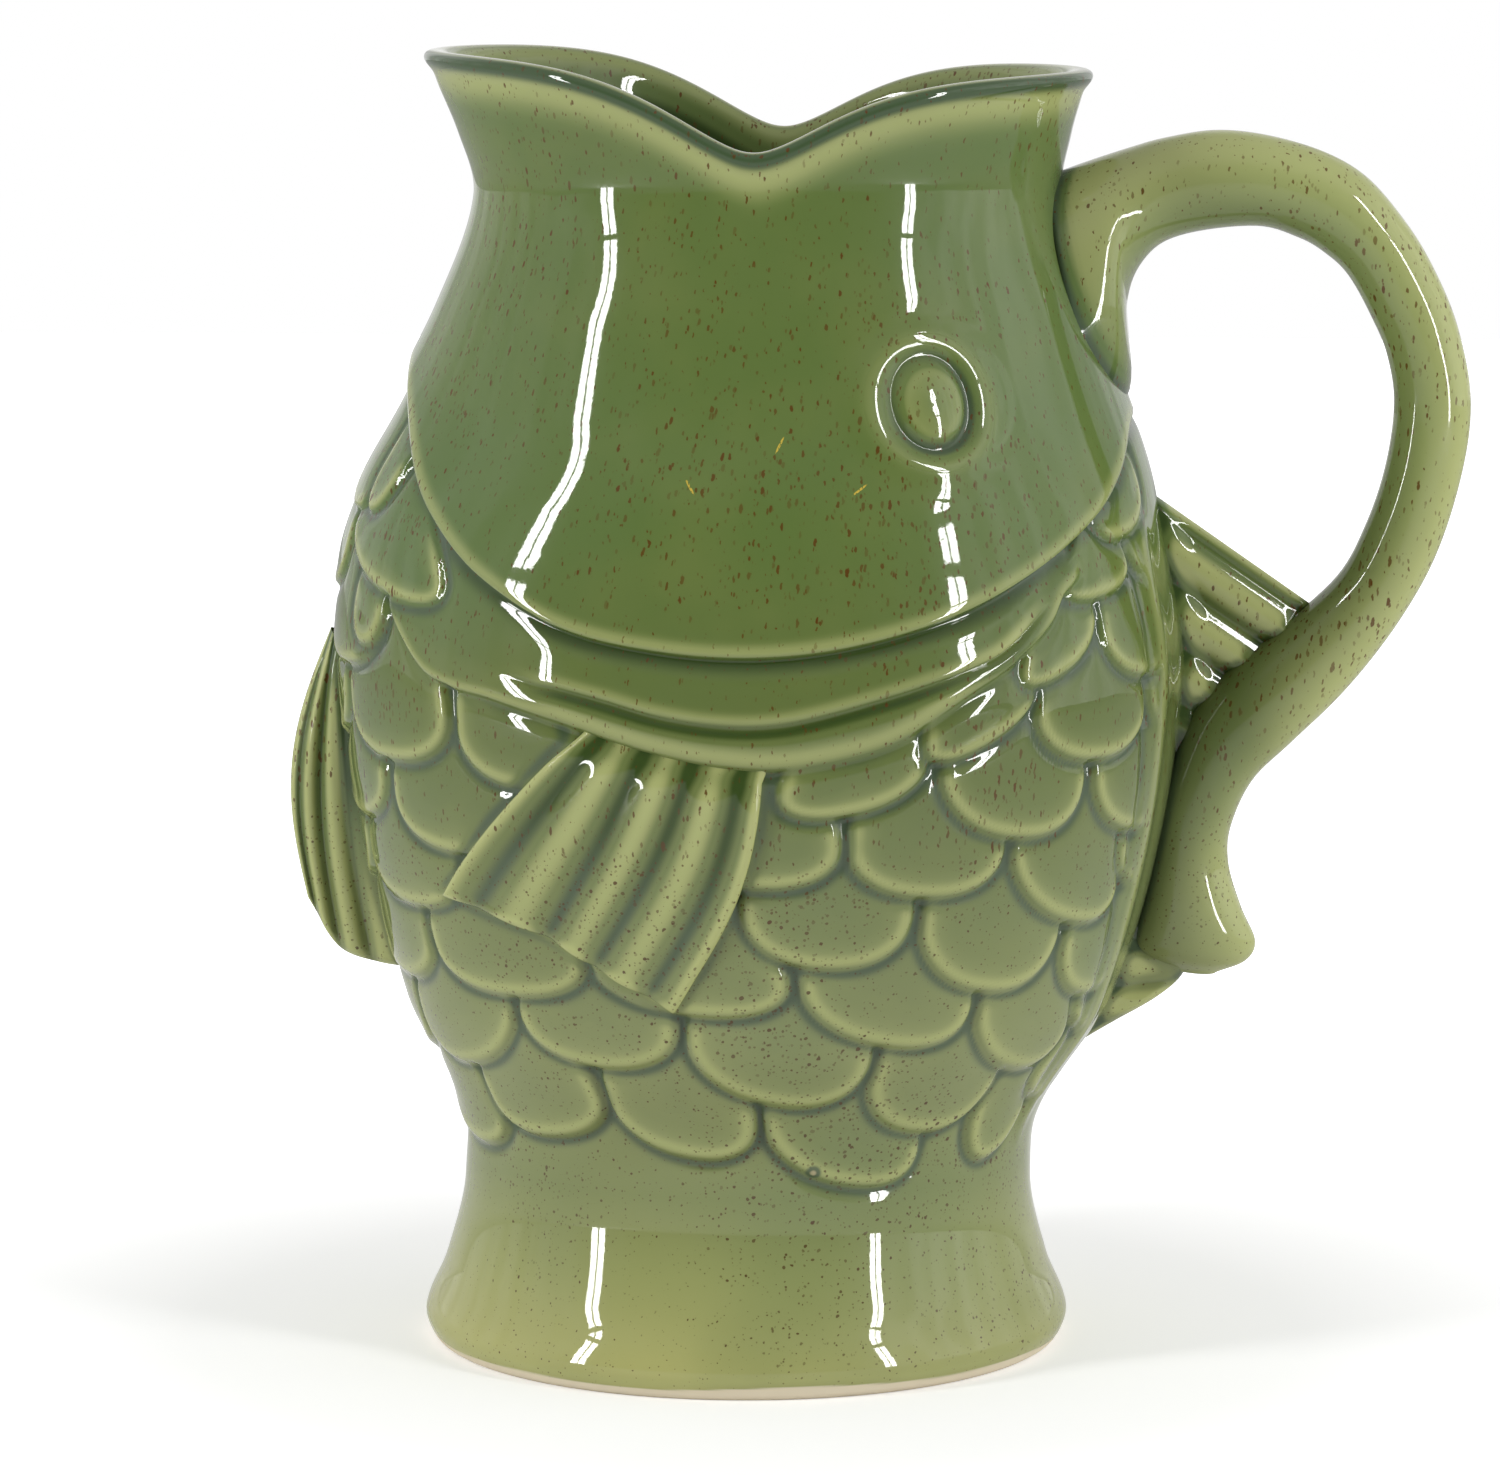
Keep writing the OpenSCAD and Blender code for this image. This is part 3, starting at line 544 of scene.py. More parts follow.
class Nodes:
    """The node tree of a material or world, with short ways to add to it."""

    def __init__(self, owner):
        owner.use_nodes = True
        self.tree = owner.node_tree
        self.tree.nodes.clear()

    def add(self, kind):
        """A new node, named without its prefix."""
        return self.tree.nodes.new("ShaderNode" + kind)

    def join(self, value, socket):
        """Sets a colour or a number on a socket, or links an output to it."""
        if isinstance(value, tuple):
            socket.default_value = (*value, 1)
        elif isinstance(value, (int, float)):
            socket.default_value = value
        else:
            self.tree.links.new(value, socket)

    def calc(self, operation, a, b, clamp=False):
        """A Math node on two numbers or outputs."""
        n = self.add("Math")
        n.operation = operation
        n.use_clamp = clamp
        self.join(a, n.inputs[0])
        self.join(b, n.inputs[1])
        return n.outputs[0]

    def vector(self, operation, a, b=None):
        """A VectorMath node; length, distance and dot product give a number."""
        n = self.add("VectorMath")
        n.operation = operation
        self.join(a, n.inputs[0])
        if b is not None:
            n.inputs[1].default_value = b
        return n.outputs["Vector" if operation in ("SUBTRACT", "MULTIPLY") else "Value"]

    def blend(self, share, a, b, kind="RGBA"):
        """Mixes two colours, or two numbers with FLOAT."""
        n = self.add("Mix")
        n.data_type = kind
        first, result = (6, 2) if kind == "RGBA" else (2, 0)
        for value, k in ((share, 0), (a, first), (b, first + 1)):
            self.join(value, n.inputs[k])
        return n.outputs[result]

    def ramp(self, value, low, high, to_low=0.0, to_high=1.0, smooth=True):
        """Maps low to high onto two other values, and keeps them beyond."""
        n = self.add("MapRange")
        n.interpolation_type = "SMOOTHSTEP" if smooth else "LINEAR"
        for k, x in enumerate((value, low, high, to_low, to_high)):
            self.join(x, n.inputs[k])
        return n.outputs[0]

    def noise(self, vector, scale, detail=3.0, rough=0.5):
        n = self.add("TexNoise")
        for key, value in zip(("Vector", "Scale", "Detail", "Roughness"), (vector, scale, detail, rough)):
            self.join(value, n.inputs[key])
        return n.outputs[0]

    def attribute(self, key):
        n = self.add("Attribute")
        n.attribute_name = key
        return n.outputs["Fac"]

    def split(self, vector):
        n = self.add("SeparateXYZ")
        self.join(vector, n.inputs[0])
        return n.outputs

    def principled(self, values):
        """The shader, with values or outputs by socket name, on the material's output."""
        n = self.add("BsdfPrincipled")
        for key, value in values.items():
            self.join(value, n.inputs[key])
        self.join(n.outputs[0], self.add("OutputMaterial").inputs[0])


def plain_glaze(n, place, z):
    """Yellower and paler towards the foot, deeper green towards the mouth, with soft clouds."""
    (low_z, colour), *above = GLAZE_BY_HEIGHT
    for high_z, higher in above:
        colour = n.blend(n.ramp(z, low_z, high_z, smooth=False), colour, higher)
        low_z = high_z
    for scale, detail, rough, cloud_from, share, tint in CLOUDS:
        cloud = n.ramp(n.noise(place, scale, detail, rough), cloud_from, CLOUD_FULL, 0.0, share)
        colour = n.blend(cloud, colour, tint)
    return colour


def pooled_glaze(n, colour):
    """Thin and light on the ridges, deep in the grooves, darker on the rim, and painted shade for tones below
    -1.
    """
    tone, rim, cool = (n.attribute(key) for key in ("tone", "rim", "cool"))
    colour = n.blend(n.ramp(tone, 0.02, 1.0, 0.0, 0.95), colour, RIDGE)
    groove = n.blend(cool, GROOVE_GREEN, GROOVE_GREY)
    colour = n.blend(n.ramp(tone, -1.0, -0.03, 0.92, 0.0), colour, groove)
    # Tones below -1 blend into painted shade
    colour = n.blend(n.ramp(tone, -2.0, -1.0, 1.0, 0.0), colour, PAINTED_SHADE)
    return n.blend(rim, colour, RIM)


def specks(n, colour, place, x, y, z):
    """Iron specks, drawn out downwards on the upper part of the jug and fewer low on the foot."""
    above = n.calc("MAXIMUM", n.calc("SUBTRACT", z, SPECK_RUN_FROM), 0.0)
    tall = n.calc("ADD", n.calc("MINIMUM", z, SPECK_RUN_FROM), n.calc("MULTIPLY", above, SPECK_RUN))
    shift = n.calc("MULTIPLY", n.calc("SUBTRACT", n.noise(place, 1100.0, 1.0), 0.5), 0.0005)
    where = n.add("CombineXYZ")
    for k, part in enumerate((x, y, tall)):
        n.join(n.calc("ADD", part, shift), where.inputs[k])
    speck_colour = n.blend(n.ramp(z, 0.07, 0.12), SPECK_LOW, SPECK_HIGH)
    gather = n.ramp(n.noise(place, 22.0, 2.0), 0.35, 0.65, 0.65, 1.0)
    gather = n.calc("MULTIPLY", gather, n.ramp(z, 0.020, 0.036, 0.78, 1.0))
    for scale, size, strength in SPECKS:
        cells = n.add("TexVoronoi")
        n.join(where.outputs[0], cells.inputs["Vector"])
        n.join(scale, cells.inputs["Scale"])
        own = n.add("SeparateColor")
        n.join(cells.outputs["Color"], own.inputs[0])
        radius = n.calc("MULTIPLY", n.ramp(own.outputs[0], 0.15, 1.0, 0.0, size, smooth=False), gather)
        inside = n.calc("SUBTRACT", radius, cells.outputs["Distance"])
        speck = n.calc("DIVIDE", inside, SPECK_EDGE, clamp=True)
        speck = n.calc("MULTIPLY", speck, n.ramp(own.outputs[1], 0.0, 1.0, 0.4 * strength, strength))
        colour = n.blend(speck, colour, speck_colour)
    return colour


def pinholes_and_gold_streaks(n, colour, place, y):
    """The pinholes, and small golden streaks on the near side of the head."""
    for centre, inner in PINHOLES:
        away = n.vector("DISTANCE", place, centre)
        colour = n.blend(n.ramp(away, *HALO_RADII, 0.85, 0.0), colour, GROOVE_GREY)
        colour = n.blend(n.ramp(away, *HOLE_RADII, 1.0, 0.0), colour, inner)
    for centre, (across, up) in GOLD_STREAKS:
        away = n.vector("SUBTRACT", place, centre)
        squares = []
        for way_x, way_z, size in ((across, up, GOLD_STREAK_LONG), (up, -across, GOLD_STREAK_WIDE)):
            along_way = n.vector("DOT_PRODUCT", away, (way_x / size, 0, way_z / size))
            squares.append(n.calc("MULTIPLY", along_way, along_way))
        near = n.calc("MULTIPLY", n.ramp(n.calc("ADD", *squares), 0.5, 1.1, 0.9, 0.0),
                      n.calc("LESS_THAN", y, 0.0))
        broken = n.ramp(n.noise(place, 2600.0, 1.0), 0.35, 0.5)
        colour = n.blend(n.calc("MULTIPLY", near, broken), colour, GOLD)
    return colour


def glaze_material():
    """Glaze that breaks light on ridges and pools in grooves, with iron specks, and the bare clay."""
    material = bpy.data.materials.new("glaze")
    n = Nodes(material)
    place = n.add("TexCoord").outputs["Object"]
    x, y, z = n.split(place)
    bare = n.attribute("bare")
    colour = pooled_glaze(n, plain_glaze(n, place, z))
    colour = pinholes_and_gold_streaks(n, specks(n, colour, place, x, y, z), place, y)
    waves = n.add("Bump")
    fine = n.calc("MULTIPLY", n.noise(place, FINE_SCALE, 1.0), FINE_SHARE)
    n.join(n.calc("ADD", n.noise(place, WAVE_SCALE, 1.0), fine), waves.inputs["Height"])
    n.join(WAVE_STRENGTH, waves.inputs["Strength"])
    n.join(WAVE_DEPTH, waves.inputs["Distance"])
    n.principled({"Base Color": n.blend(bare, colour, CLAY), "IOR": GLAZE_IOR, "Normal": waves.outputs[0],
                  "Roughness": n.ramp(bare, 0.0, 1.0, GLAZE_ROUGH, CLAY_ROUGH, smooth=False)})
    return material


GLAZE = glaze_material()

# Points round the body: many for what the glaze shows, few for the inside and the foot's ring
COLUMNS, FEW = 600, 150
TURN, FEW_TURN = turns(COLUMNS), turns(FEW)
FOLD = fold(TURN)
# The edges of the head and the collars all round, kept apart
HEAD_Z = curve(FOLD, HEAD)
LOWER_Z = np.minimum(curve(FOLD, LOWER), HEAD_Z - 8)
UPPER_Z = np.clip(curve(FOLD, UPPER), LOWER_Z + 3, HEAD_Z - 4)
LIP_Z = lip_z(TURN)
# The bare ring: radius and height of its rounds, from the hollow under the foot outwards to its outer edge
FOOT_RINGS = [(46.3, 2.5), (46.7, 2.2), (46.7, 0.25), (46.95, 0), (51, 0)]
FOOT_MIDDLE_R, FOOT_EDGE_R = 20, 54.7
# The foot over the bare ring: heights of its rows, and the rounding of its lowest edge
FOOT_ROWS = (0.1, 0.4, 0.8, 1.2, 1.6, 1.9, 2.2, 2.5, 2.8, 3.2, 3.8, 4.6)
FOOT_ROUND, FOOT_ROUND_H = 0.95, 0.4
# How much deeper than the glaze the bare clay lies
GLAZE_T = 0.10
# The lip from the outside over the top to the inside: how far down and how far out
LIP = [(6.4, 0.0), (5.4, -0.02), (4.6, -0.05), (4.0, -0.02), (3.5, 0.1), (3.1, 0.28), (2.7, 0.5), (2.2, 0.72),
       (1.7, 0.82), (1.2, 0.76), (0.75, 0.52), (0.38, 0.1), (0.12, -0.5), (0.0, -1.2), (-0.02, -1.9),
       (0.1, -2.6), (0.4, -3.25), (0.9, -3.8), (1.7, -4.25), (2.8, -4.5), (4.2, -4.6), (6, -4.6),
       (8.5, -4.6), (12, -4.6)]
# Further in than this, a row of the lip is on the inside
LIP_OUTSIDE = -1.3
# The inside: plain wall from that far under the lip to that height, then the floor as height and out
INSIDE_DOWN, INSIDE_Z = 16, 14.0
INSIDE_FLOOR = [(11.5, -5.6), (9.4, -7.8), (8.3, -11), (8.0, -16), (8.0, -30)]
# Painted shade inside the hollow: tones below -1 take the painted shade colour
INSIDE_SHADE_TONE, FLOOR_SHADE_TONE = -1.65, -1.4
# The body's bands: the foot's heights, where the flank starts, over the head's edge and under the lip
FOOT_BAND, FLANK_Z, HEAD_EDGE_H, LIP_BAND = (5.5, 32.5), 33.2, 9, 7.2
# The dip of the body under an eye, how far inside the eye's edge it starts, and its run
DIP, DIP_IN, DIP_RUN = 1.2, 1.9, 1.3


def under_lip(down):
    """The glaze runs thin and pale in a zone under the rim."""
    return 0.72 * hump(down, 4.0, np.where(down > 4.0, 4.4, 2.0))


def body_band(r, low, high, shares):
    """Rows of the outer body between two heights, which may vary round it."""
    for share in shares:
        z = mix(low, high, share)
        h, tone = surface(FOLD, z)
        # The body dips under each eye, whose own piece carries on its curve
        h = h - DIP * step(EYE_R - DIP_IN - eye_radius(FOLD, z), 0, DIP_RUN)
        r.add(skin(TURN, z, h), tone=np.clip(tone + under_lip(LIP_Z - z), -1, 1), cool=coolness(TURN, z))


def circle(turn, radius, z):
    """A level circle round the axis."""
    a = np.radians(turn)
    return np.stack([np.sin(a), -np.cos(a), 0 * a], -1) * radius + [0, 0, z]


def body_foot(r):
    """The ring of bare clay and the glazed foot, where the glaze ends in a slightly uneven line."""
    r.add(circle(FEW_TURN, FOOT_MIDDLE_R, FOOT_HOLLOW_H), bare=1)
    r.close([0, 0, FOOT_HOLLOW_H], (0, FEW), flip=True, bare=1)
    for radius, z in FOOT_RINGS:
        r.add(circle(FEW_TURN, radius, z), bare=1)
    r.add(circle(TURN, FOOT_EDGE_R, 0), bare=1)
    edge = 2.0 + 0.35 * np.sin(np.radians(TURN * 3 + 40)) + 0.25 * np.sin(np.radians(TURN * 7 + 10))
    for height in FOOT_ROWS:
        inset = FOOT_ROUND * math.exp(-height / FOOT_ROUND_H) + GLAZE_T * step(edge - height, 0, 0.3)
        r.add(skin(TURN, height, -inset), bare=step(edge - height, -0.12, 0.12),
              tone=0.3 * hump(height, edge + 1.2, 1.0))


def body_lip(r):
    """The bead and the rim, whose crest is cream where the glaze runs thin."""
    for down, out in LIP:
        outside = out >= LIP_OUTSIDE
        band = 1 - step(down, 2.1, 3.3) if outside else step(0.3 - down, -0.4, 0.2)
        cream = hump(down, 0.0, 0.32) * (0.5 + 0.5 * (out < 0))
        # Inside, the tone falls into painted shade from 5 mm under the rim
        tone = float(under_lip(down)) if outside else 0.5 * hump(down, 1.5, 2.5) - 1.8 * step(down, 5, 11)
        r.add(skin(TURN, LIP_Z - down, out), rim=band * (1 - 0.7 * cream), tone=tone + 0.7 * cream, cool=0)


def body_inside(r):
    """The wall and the floor of the hollow, in painted shade that eases a little towards the floor."""
    top = lip_z(FEW_TURN) - INSIDE_DOWN
    for share in np.linspace(0, 1, 34):
        tone = INSIDE_SHADE_TONE + (FLOOR_SHADE_TONE - INSIDE_SHADE_TONE) * share
        r.add(skin(FEW_TURN, mix(top, INSIDE_Z, share), -WALL), tone=tone, cool=0)
    for z, out in INSIDE_FLOOR:
        r.add(skin(FEW_TURN, z, out), tone=FLOOR_SHADE_TONE, cool=0)
    r.close([0, 0, FLOOR_T], r.last, tone=FLOOR_SHADE_TONE, cool=0)


def body():
    """One skin from the middle of the foot over the outside and the lip to the floor inside."""
    r = Rings()
    body_foot(r)
    body_band(r, *FOOT_BAND, np.linspace(0, 1, 19))
    for low, high, rows in ((FLANK_Z, LOWER_Z, 149), (LOWER_Z, UPPER_Z, 14), (UPPER_Z, HEAD_Z, 26),
                            (HEAD_Z, HEAD_Z + HEAD_EDGE_H, 16)):
        body_band(r, low, high, np.linspace(0, 1, rows, endpoint=False))
    # Denser rows where the eye's ring lies
    face = [np.linspace(0, 0.12, 4)[:-1], np.linspace(0.12, 0.76, 48)[:-1], np.linspace(0.76, 1, 8)]
    body_band(r, HEAD_Z + HEAD_EDGE_H, LIP_Z - LIP_BAND, np.concatenate(face))
    body_lip(r)
    body_inside(r)
    r.make("jug_body_glazed", "jug_body")


body()

# The eye's tone by distance from its middle
EYE_TONE = [(0, 0.2), (4, 0.35), (5.8, 0.3), (6.9, -0.5), (7.9, -1.0), (8.8, -0.85), (9.7, 0.0), (10.5, 0.22),
            (11.4, 0.3), (14, 0.05), (18, 0)]
EYE_SPOKES, EYE_ROWS, EYE_COOL = 96, 55, 0.6
EYE_OVER, EYE_TUCK, EYE_TUCK_W = 0.03, 0.4, 0.7


def eye(name, node, side):
    """The eye carries on the relief of the head inside its raised ring."""
    a = np.radians(turns(EYE_SPOKES))
    per = float(np.linalg.norm(skin(EYE_ANGLE + 0.5, EYE_Z) - skin(EYE_ANGLE - 0.5, EYE_Z)))
    climb = skin(EYE_ANGLE, EYE_Z + 1) - EYE_AT
    climb_z = climb[2] / np.linalg.norm(climb)
    r = Rings()
    for radius in np.linspace(0, EYE_R, EYE_ROWS + 1)[1:]:
        angle = EYE_ANGLE + radius * np.cos(a) / per
        z = EYE_Z + radius * np.sin(a) * climb_z
        for _ in range(3):
            # Pull the ring to its true radius on the curved head
            now = eye_radius(angle, z)
            angle = EYE_ANGLE + (angle - EYE_ANGLE) * radius / now
            z = EYE_Z + (z - EYE_Z) * radius / now
        h = surface(angle, z)[0] + EYE_OVER - EYE_TUCK * step(radius - EYE_R + EYE_TUCK_W, 0, EYE_TUCK_W)
        # The groove's tone is darker towards the lower back
        pool = 0.75 + 0.35 * np.cos(a + 0.7)
        tone = float(curve(radius, EYE_TONE))
        r.add(skin(angle, z, h), tone=tone * pool if tone < 0 else tone, cool=EYE_COOL)
    top = skin(EYE_ANGLE, EYE_Z, surface(EYE_ANGLE, EYE_Z)[0] + 0.02)
    r.close(top, (0, EYE_SPOKES), flip=True, tone=EYE_TONE[0][1], cool=EYE_COOL)
    r.make(name, node, side)


eye("eye_near", "eye_left", 1)
eye("eye_far", "eye_right", -1)

# The handle: shares of the way from the back to the reach and of the height, for its outer and its inner
# edge, and its width share
HANDLE = [
    [-0.045, 0.916, -0.13, 0.712, 2.75], [0.05, 0.928, 0.02, 0.754, 2.3], [0.148, 0.939, 0.086, 0.82, 1.7],
    [0.234, 0.947, 0.172, 0.855, 1.38], [0.357, 0.953, 0.278, 0.872, 1.24], [0.49, 0.949, 0.461, 0.879, 1.17],
    [0.635, 0.936, 0.565, 0.87, 1.12], [0.744, 0.916, 0.627, 0.858, 1.08], [0.832, 0.883, 0.679, 0.841, 1.04],
    [0.898, 0.848, 0.731, 0.808, 1.01], [0.963, 0.8, 0.765, 0.779, 1], [1, 0.743, 0.775, 0.741, 0.97],
    [0.975, 0.687, 0.736, 0.693, 0.97], [0.895, 0.625, 0.664, 0.647, 0.98], [0.77, 0.574, 0.56, 0.607, 1.02],
    [0.574, 0.517, 0.359, 0.568, 1.08], [0.396, 0.475, 0.15, 0.532, 1.14], [0.277, 0.445, 0.024, 0.493, 1.12],
    [0.227, 0.409, -0.042, 0.433, 1.1], [0.24, 0.379, -0.038, 0.393, 1.1], [0.306, 0.345, -0.023, 0.345, 1.1],
    [0.372, 0.318, -0.009, 0.318, 1], [0.359, 0.302, 0.046, 0.305, 0.72], [0.281, 0.292, 0.135, 0.296, 0.3]]
REACH, HANDLE_HALF = 126.85, 7
HANDLE_SIDES, HANDLE_ROWS, HANDLE_COOL = 72, 170, 0.8
# The tip's rounded end: how far it stands out, its tone, and its rows as shares of the tip's section
TIP_ROUND, TIP_TONE, TIP_SHARES = 0.7, 0.4, (0.92, 0.75, 0.5, 0.25)


def along(t, table, column):
    """One column of a table at a share of the way through its rows."""
    t = np.asarray(t, float)
    return curve(t * (len(table) - 1), [(i, row[column]) for i, row in enumerate(table)])


def behind(shares):
    """Shares of the reach behind the back, and of the height, as places in the middle plane."""
    shares = np.asarray(shares, float)
    z = shares[..., 1] * JUG_H
    back = curve(z, LEAN) + curve(z, HALF)
    return np.stack([mix(back, REACH, shares[..., 0]), z], -1)


def handle():
    """The looped handle; gives back its points, for the glaze of the fins that meet it."""
    a = np.radians(turns(HANDLE_SIDES))

    def section(share=1.0):
        return np.stack([middle[0] + arm[0] * np.cos(a) * share, -across * np.sin(a) * share,
                         middle[1] + arm[1] * np.cos(a) * share], -1)

    r = Rings()
    for t in np.linspace(0, 1, HANDLE_ROWS):
        outer = behind([along(t, HANDLE, 0), along(t, HANDLE, 1)])
        inner = behind([along(t, HANDLE, 2), along(t, HANDLE, 3)])
        middle, arm = (outer + inner) / 2, (outer - inner) / 2
        across = float(along(t, HANDLE, 4)) * HANDLE_HALF
        out = np.clip(out_of(section()), 0, None)
        # Lighter and darker stretches along the handle; the last term paints sheen on its outer side
        pale = 0.75 - 0.5 * step(t, 0.64, 0.74) + 0.35 * step(t, 0.76, 0.86) + 0.4 * np.cos(a + 0.5)
        tone = pale * (1 - hump(out, 0, 2.2)) - 1.1 * hump(out, 0, 1.5)
        r.add(sink(section()), tone=tone, cool=HANDLE_COOL)
    for share in TIP_SHARES:
        drop = TIP_ROUND * math.sqrt(1 - share * share)
        r.add(sink(section(share) - [0, 0, drop]), tone=TIP_TONE, cool=HANDLE_COOL)
    skin_points = np.concatenate(r.points)
    r.close([middle[0], 0, middle[1] - TIP_ROUND], r.last, tone=TIP_TONE)
    r.close(r.points[0].mean(0), (0, HANDLE_SIDES), flip=True)
    r.make("handle_glazed", "handle")
    return skin_points


handle_points = handle()
handle_tree = kdtree.KDTree(len(handle_points))
for number, point in enumerate(handle_points):
    handle_tree.insert(point, number)
handle_tree.balance()


def line_at(t, table):
    """Places at shares of the way along a line of points."""
    return np.stack([along(t, table, 0), along(t, table, 1)], -1)


def from_edges(p):
    """Distances to the two ends of the ribs' row and to the tip line of a fin's grid of points."""
    along_s, along_t = (
        np.insert(np.cumsum(np.linalg.norm(np.diff(p, axis=k), axis=-1), k), 0, 0, k) for k in (0, 1))
    return np.minimum(along_t, along_t[:, -1:] - along_t), along_s[-1:] - along_s


# How round the ribs of all fins are, and the rounding of the flat fins' edge
RIB_POWER = 0.62
FIN_EDGE_R = 3.2


def flat_fin(name, node, root, tip, thick, ribs, phase, cool, bow=0.0, depth=1.3, rows=64, cols=150,
             by_handle=True):
    """A ribbed fin in the middle plane: both faces meet on its rim, and the ribs run out at the root."""
    s, t = np.meshgrid(np.linspace(0, 1, rows), np.linspace(0, 1, cols), indexing="ij")
    p = mix(line_at(t.ravel(), root), line_at(t.ravel(), tip), s.ravel()[:, None]).reshape(rows, cols, 2)
    p = p + (np.sin(np.pi * s) * t)[..., None] * np.array([bow, 0])
    wave = (0.5 + 0.5 * np.cos(2 * np.pi * (t * ribs - phase))) ** RIB_POWER
    out_flat = np.clip(out_of(np.stack([p[..., 0], 0 * s - 3, p[..., 1]], -1)), 0, None)
    full = mix(thick / 2, thick / 3, s) - depth * (1 - wave) * 0.9 * mix(0.35, 1, step(out_flat, 1, 5))
    edge_t, edge_s = from_edges(p)
    fullness = 1 - np.maximum(rounding(edge_t, FIN_EDGE_R), rounding(edge_s, FIN_EDGE_R))
    near = np.stack([p[..., 0], -np.clip(full, 0.7, None) * fullness, p[..., 1]], -1)
    out = np.clip(out_of(near), 0, None)
    edge = np.minimum(edge_t, edge_s)
    tone = (wave - 0.5) * 1.6 + 0.32 + 0.3 * hump(edge, 0, 1.6) - 1.3 * hump(out, 0, 1.4)
    if by_handle:
        tone = tone + 0.12
        gaps = np.array([handle_tree.find(q)[2] for q in near.reshape(-1, 3)]).reshape(near.shape[:2])
        tone = tone - 1.3 * hump(gaps, 0, 1.5)
    values = glaze(tone.size, np.clip(tone, -1, 1), cool=cool)
    points = np.concatenate([sink(near).reshape(-1, 3), sink(near * [1, -1, 1]).reshape(-1, 3)])
    faces = grid_faces(rows, cols) + grid_faces(rows, cols, rows * cols, True)
    make(name, points, faces, np.concatenate([values, values]), node)


BELLY_OUT = 13.8


def before(shares):
    """Shares of the belly fin's reach before the belly, and of the height, as places in the middle plane."""
    shares = np.asarray(shares, float)
    z = shares[..., 1] * JUG_H
    return np.stack([curve(z, LEAN) - curve(z, HALF) - shares[..., 0] * BELLY_OUT, z], -1)


flat_fin("dorsal_fin_upper_glazed", "dorsal_fin_upper",
         root=behind([[-0.133, 0.696], [-0.188, 0.56], [-0.142, 0.436]]),
         tip=behind([[0.455, 0.585], [0.26, 0.497], [0.064, 0.431]]),
         thick=9, ribs=5.26, phase=0.75, cool=0.1, depth=2.1)
flat_fin("dorsal_fin_lower_glazed", "dorsal_fin_lower",
         root=behind([[-0.144, 0.342], [-0.136, 0.28], [-0.087, 0.235]]),
         tip=behind([[0.156, 0.34], [0.179, 0.287], [0.009, 0.239]]),
         thick=9, ribs=3, phase=0, cool=0.8, rows=48, cols=90)
flat_fin("belly_fin_glazed", "belly_fin",
         root=before([[-0.45, 0.53], [-0.03, 0.553], [0.1, 0.56]]),
         tip=before([[-0.3, 0.288], [0.3, 0.293], [0.76, 0.306], [0.96, 0.345]]),
         thick=8, ribs=4, phase=0, cool=0.3, bow=-0.36 * BELLY_OUT, by_handle=False)

PECTORAL_RIBS, PECTORAL_ROWS, PECTORAL_COLS = 4, 150, 160
# It starts that share of its length under the collar
PECTORAL_TUCK = 0.1


def pectoral(name, node, side):
    """The fin on the flank comes out from under the lower collar and lies on the scales."""
    grid = PECTORAL_ROWS, PECTORAL_COLS
    s, t = np.meshgrid(np.linspace(-PECTORAL_TUCK, 1, grid[0]), np.linspace(0, 1, grid[1]), indexing="ij")
    root = line_at(t.ravel(), PECTORAL_ROOT).reshape(*grid, 2)
    tip = line_at(t.ravel(), PECTORAL_TIP).reshape(*grid, 2)
    wave = (0.5 + 0.5 * np.cos(2 * np.pi * PECTORAL_RIBS * t)) ** RIB_POWER
    p = mix(root, tip, s[..., None])
    p[..., 0] += PECTORAL_BULGE * np.sin(np.pi * np.clip(s, 0, 1)) * t
    p[..., 1] -= 0.35 * (wave - 0.4) * step(s, 0.8, 1.0)
    edge = np.minimum(*from_edges(skin(p[..., 0], p[..., 1])))
    lift = mix(-0.4, 1.35, step(s, -0.07, 0.13)) + 1.25 * (wave - 0.5) * (1 - 0.3 * s) * step(s, 0.0, 0.16)
    lift = lift + 0.2 * hump(edge, 1.2, 0.9) - 1.0 * rounding(edge, 1.6) - 3.2 * step(0.28 - edge, 0, 0.28)
    # The last term paints shade on the fin's root, under the collar's edge
    tone = (wave - 0.56) * mix(1.9, 1.5, s) + 0.5 * hump(edge, 0.5, 1.3) - 0.3 * hump(s, 0.02, 0.06)
    cool = 0.05 + 0.85 * step(s, 0.3, 0.75)
    values = glaze(tone.size, np.clip(tone, -1, 1), cool=cool)
    points = (skin(p[..., 0], p[..., 1], lift) * [1, side, 1]).reshape(-1, 3)
    make(name, points, grid_faces(*grid, flip=side > 0), values, node)


pectoral("pectoral_fin_near", "pectoral_fin_left", 1)
pectoral("pectoral_fin_far", "pectoral_fin_right", -1)

FLOOR_HALF = 2.2
# Two distances from the jug and the values at them: what the camera sees added, and the floor's colour
WHITEN = (0.10, 0.35, 0.26, 1.0)
DULLER = (0.30, 0.60, 0.92, 0.70)


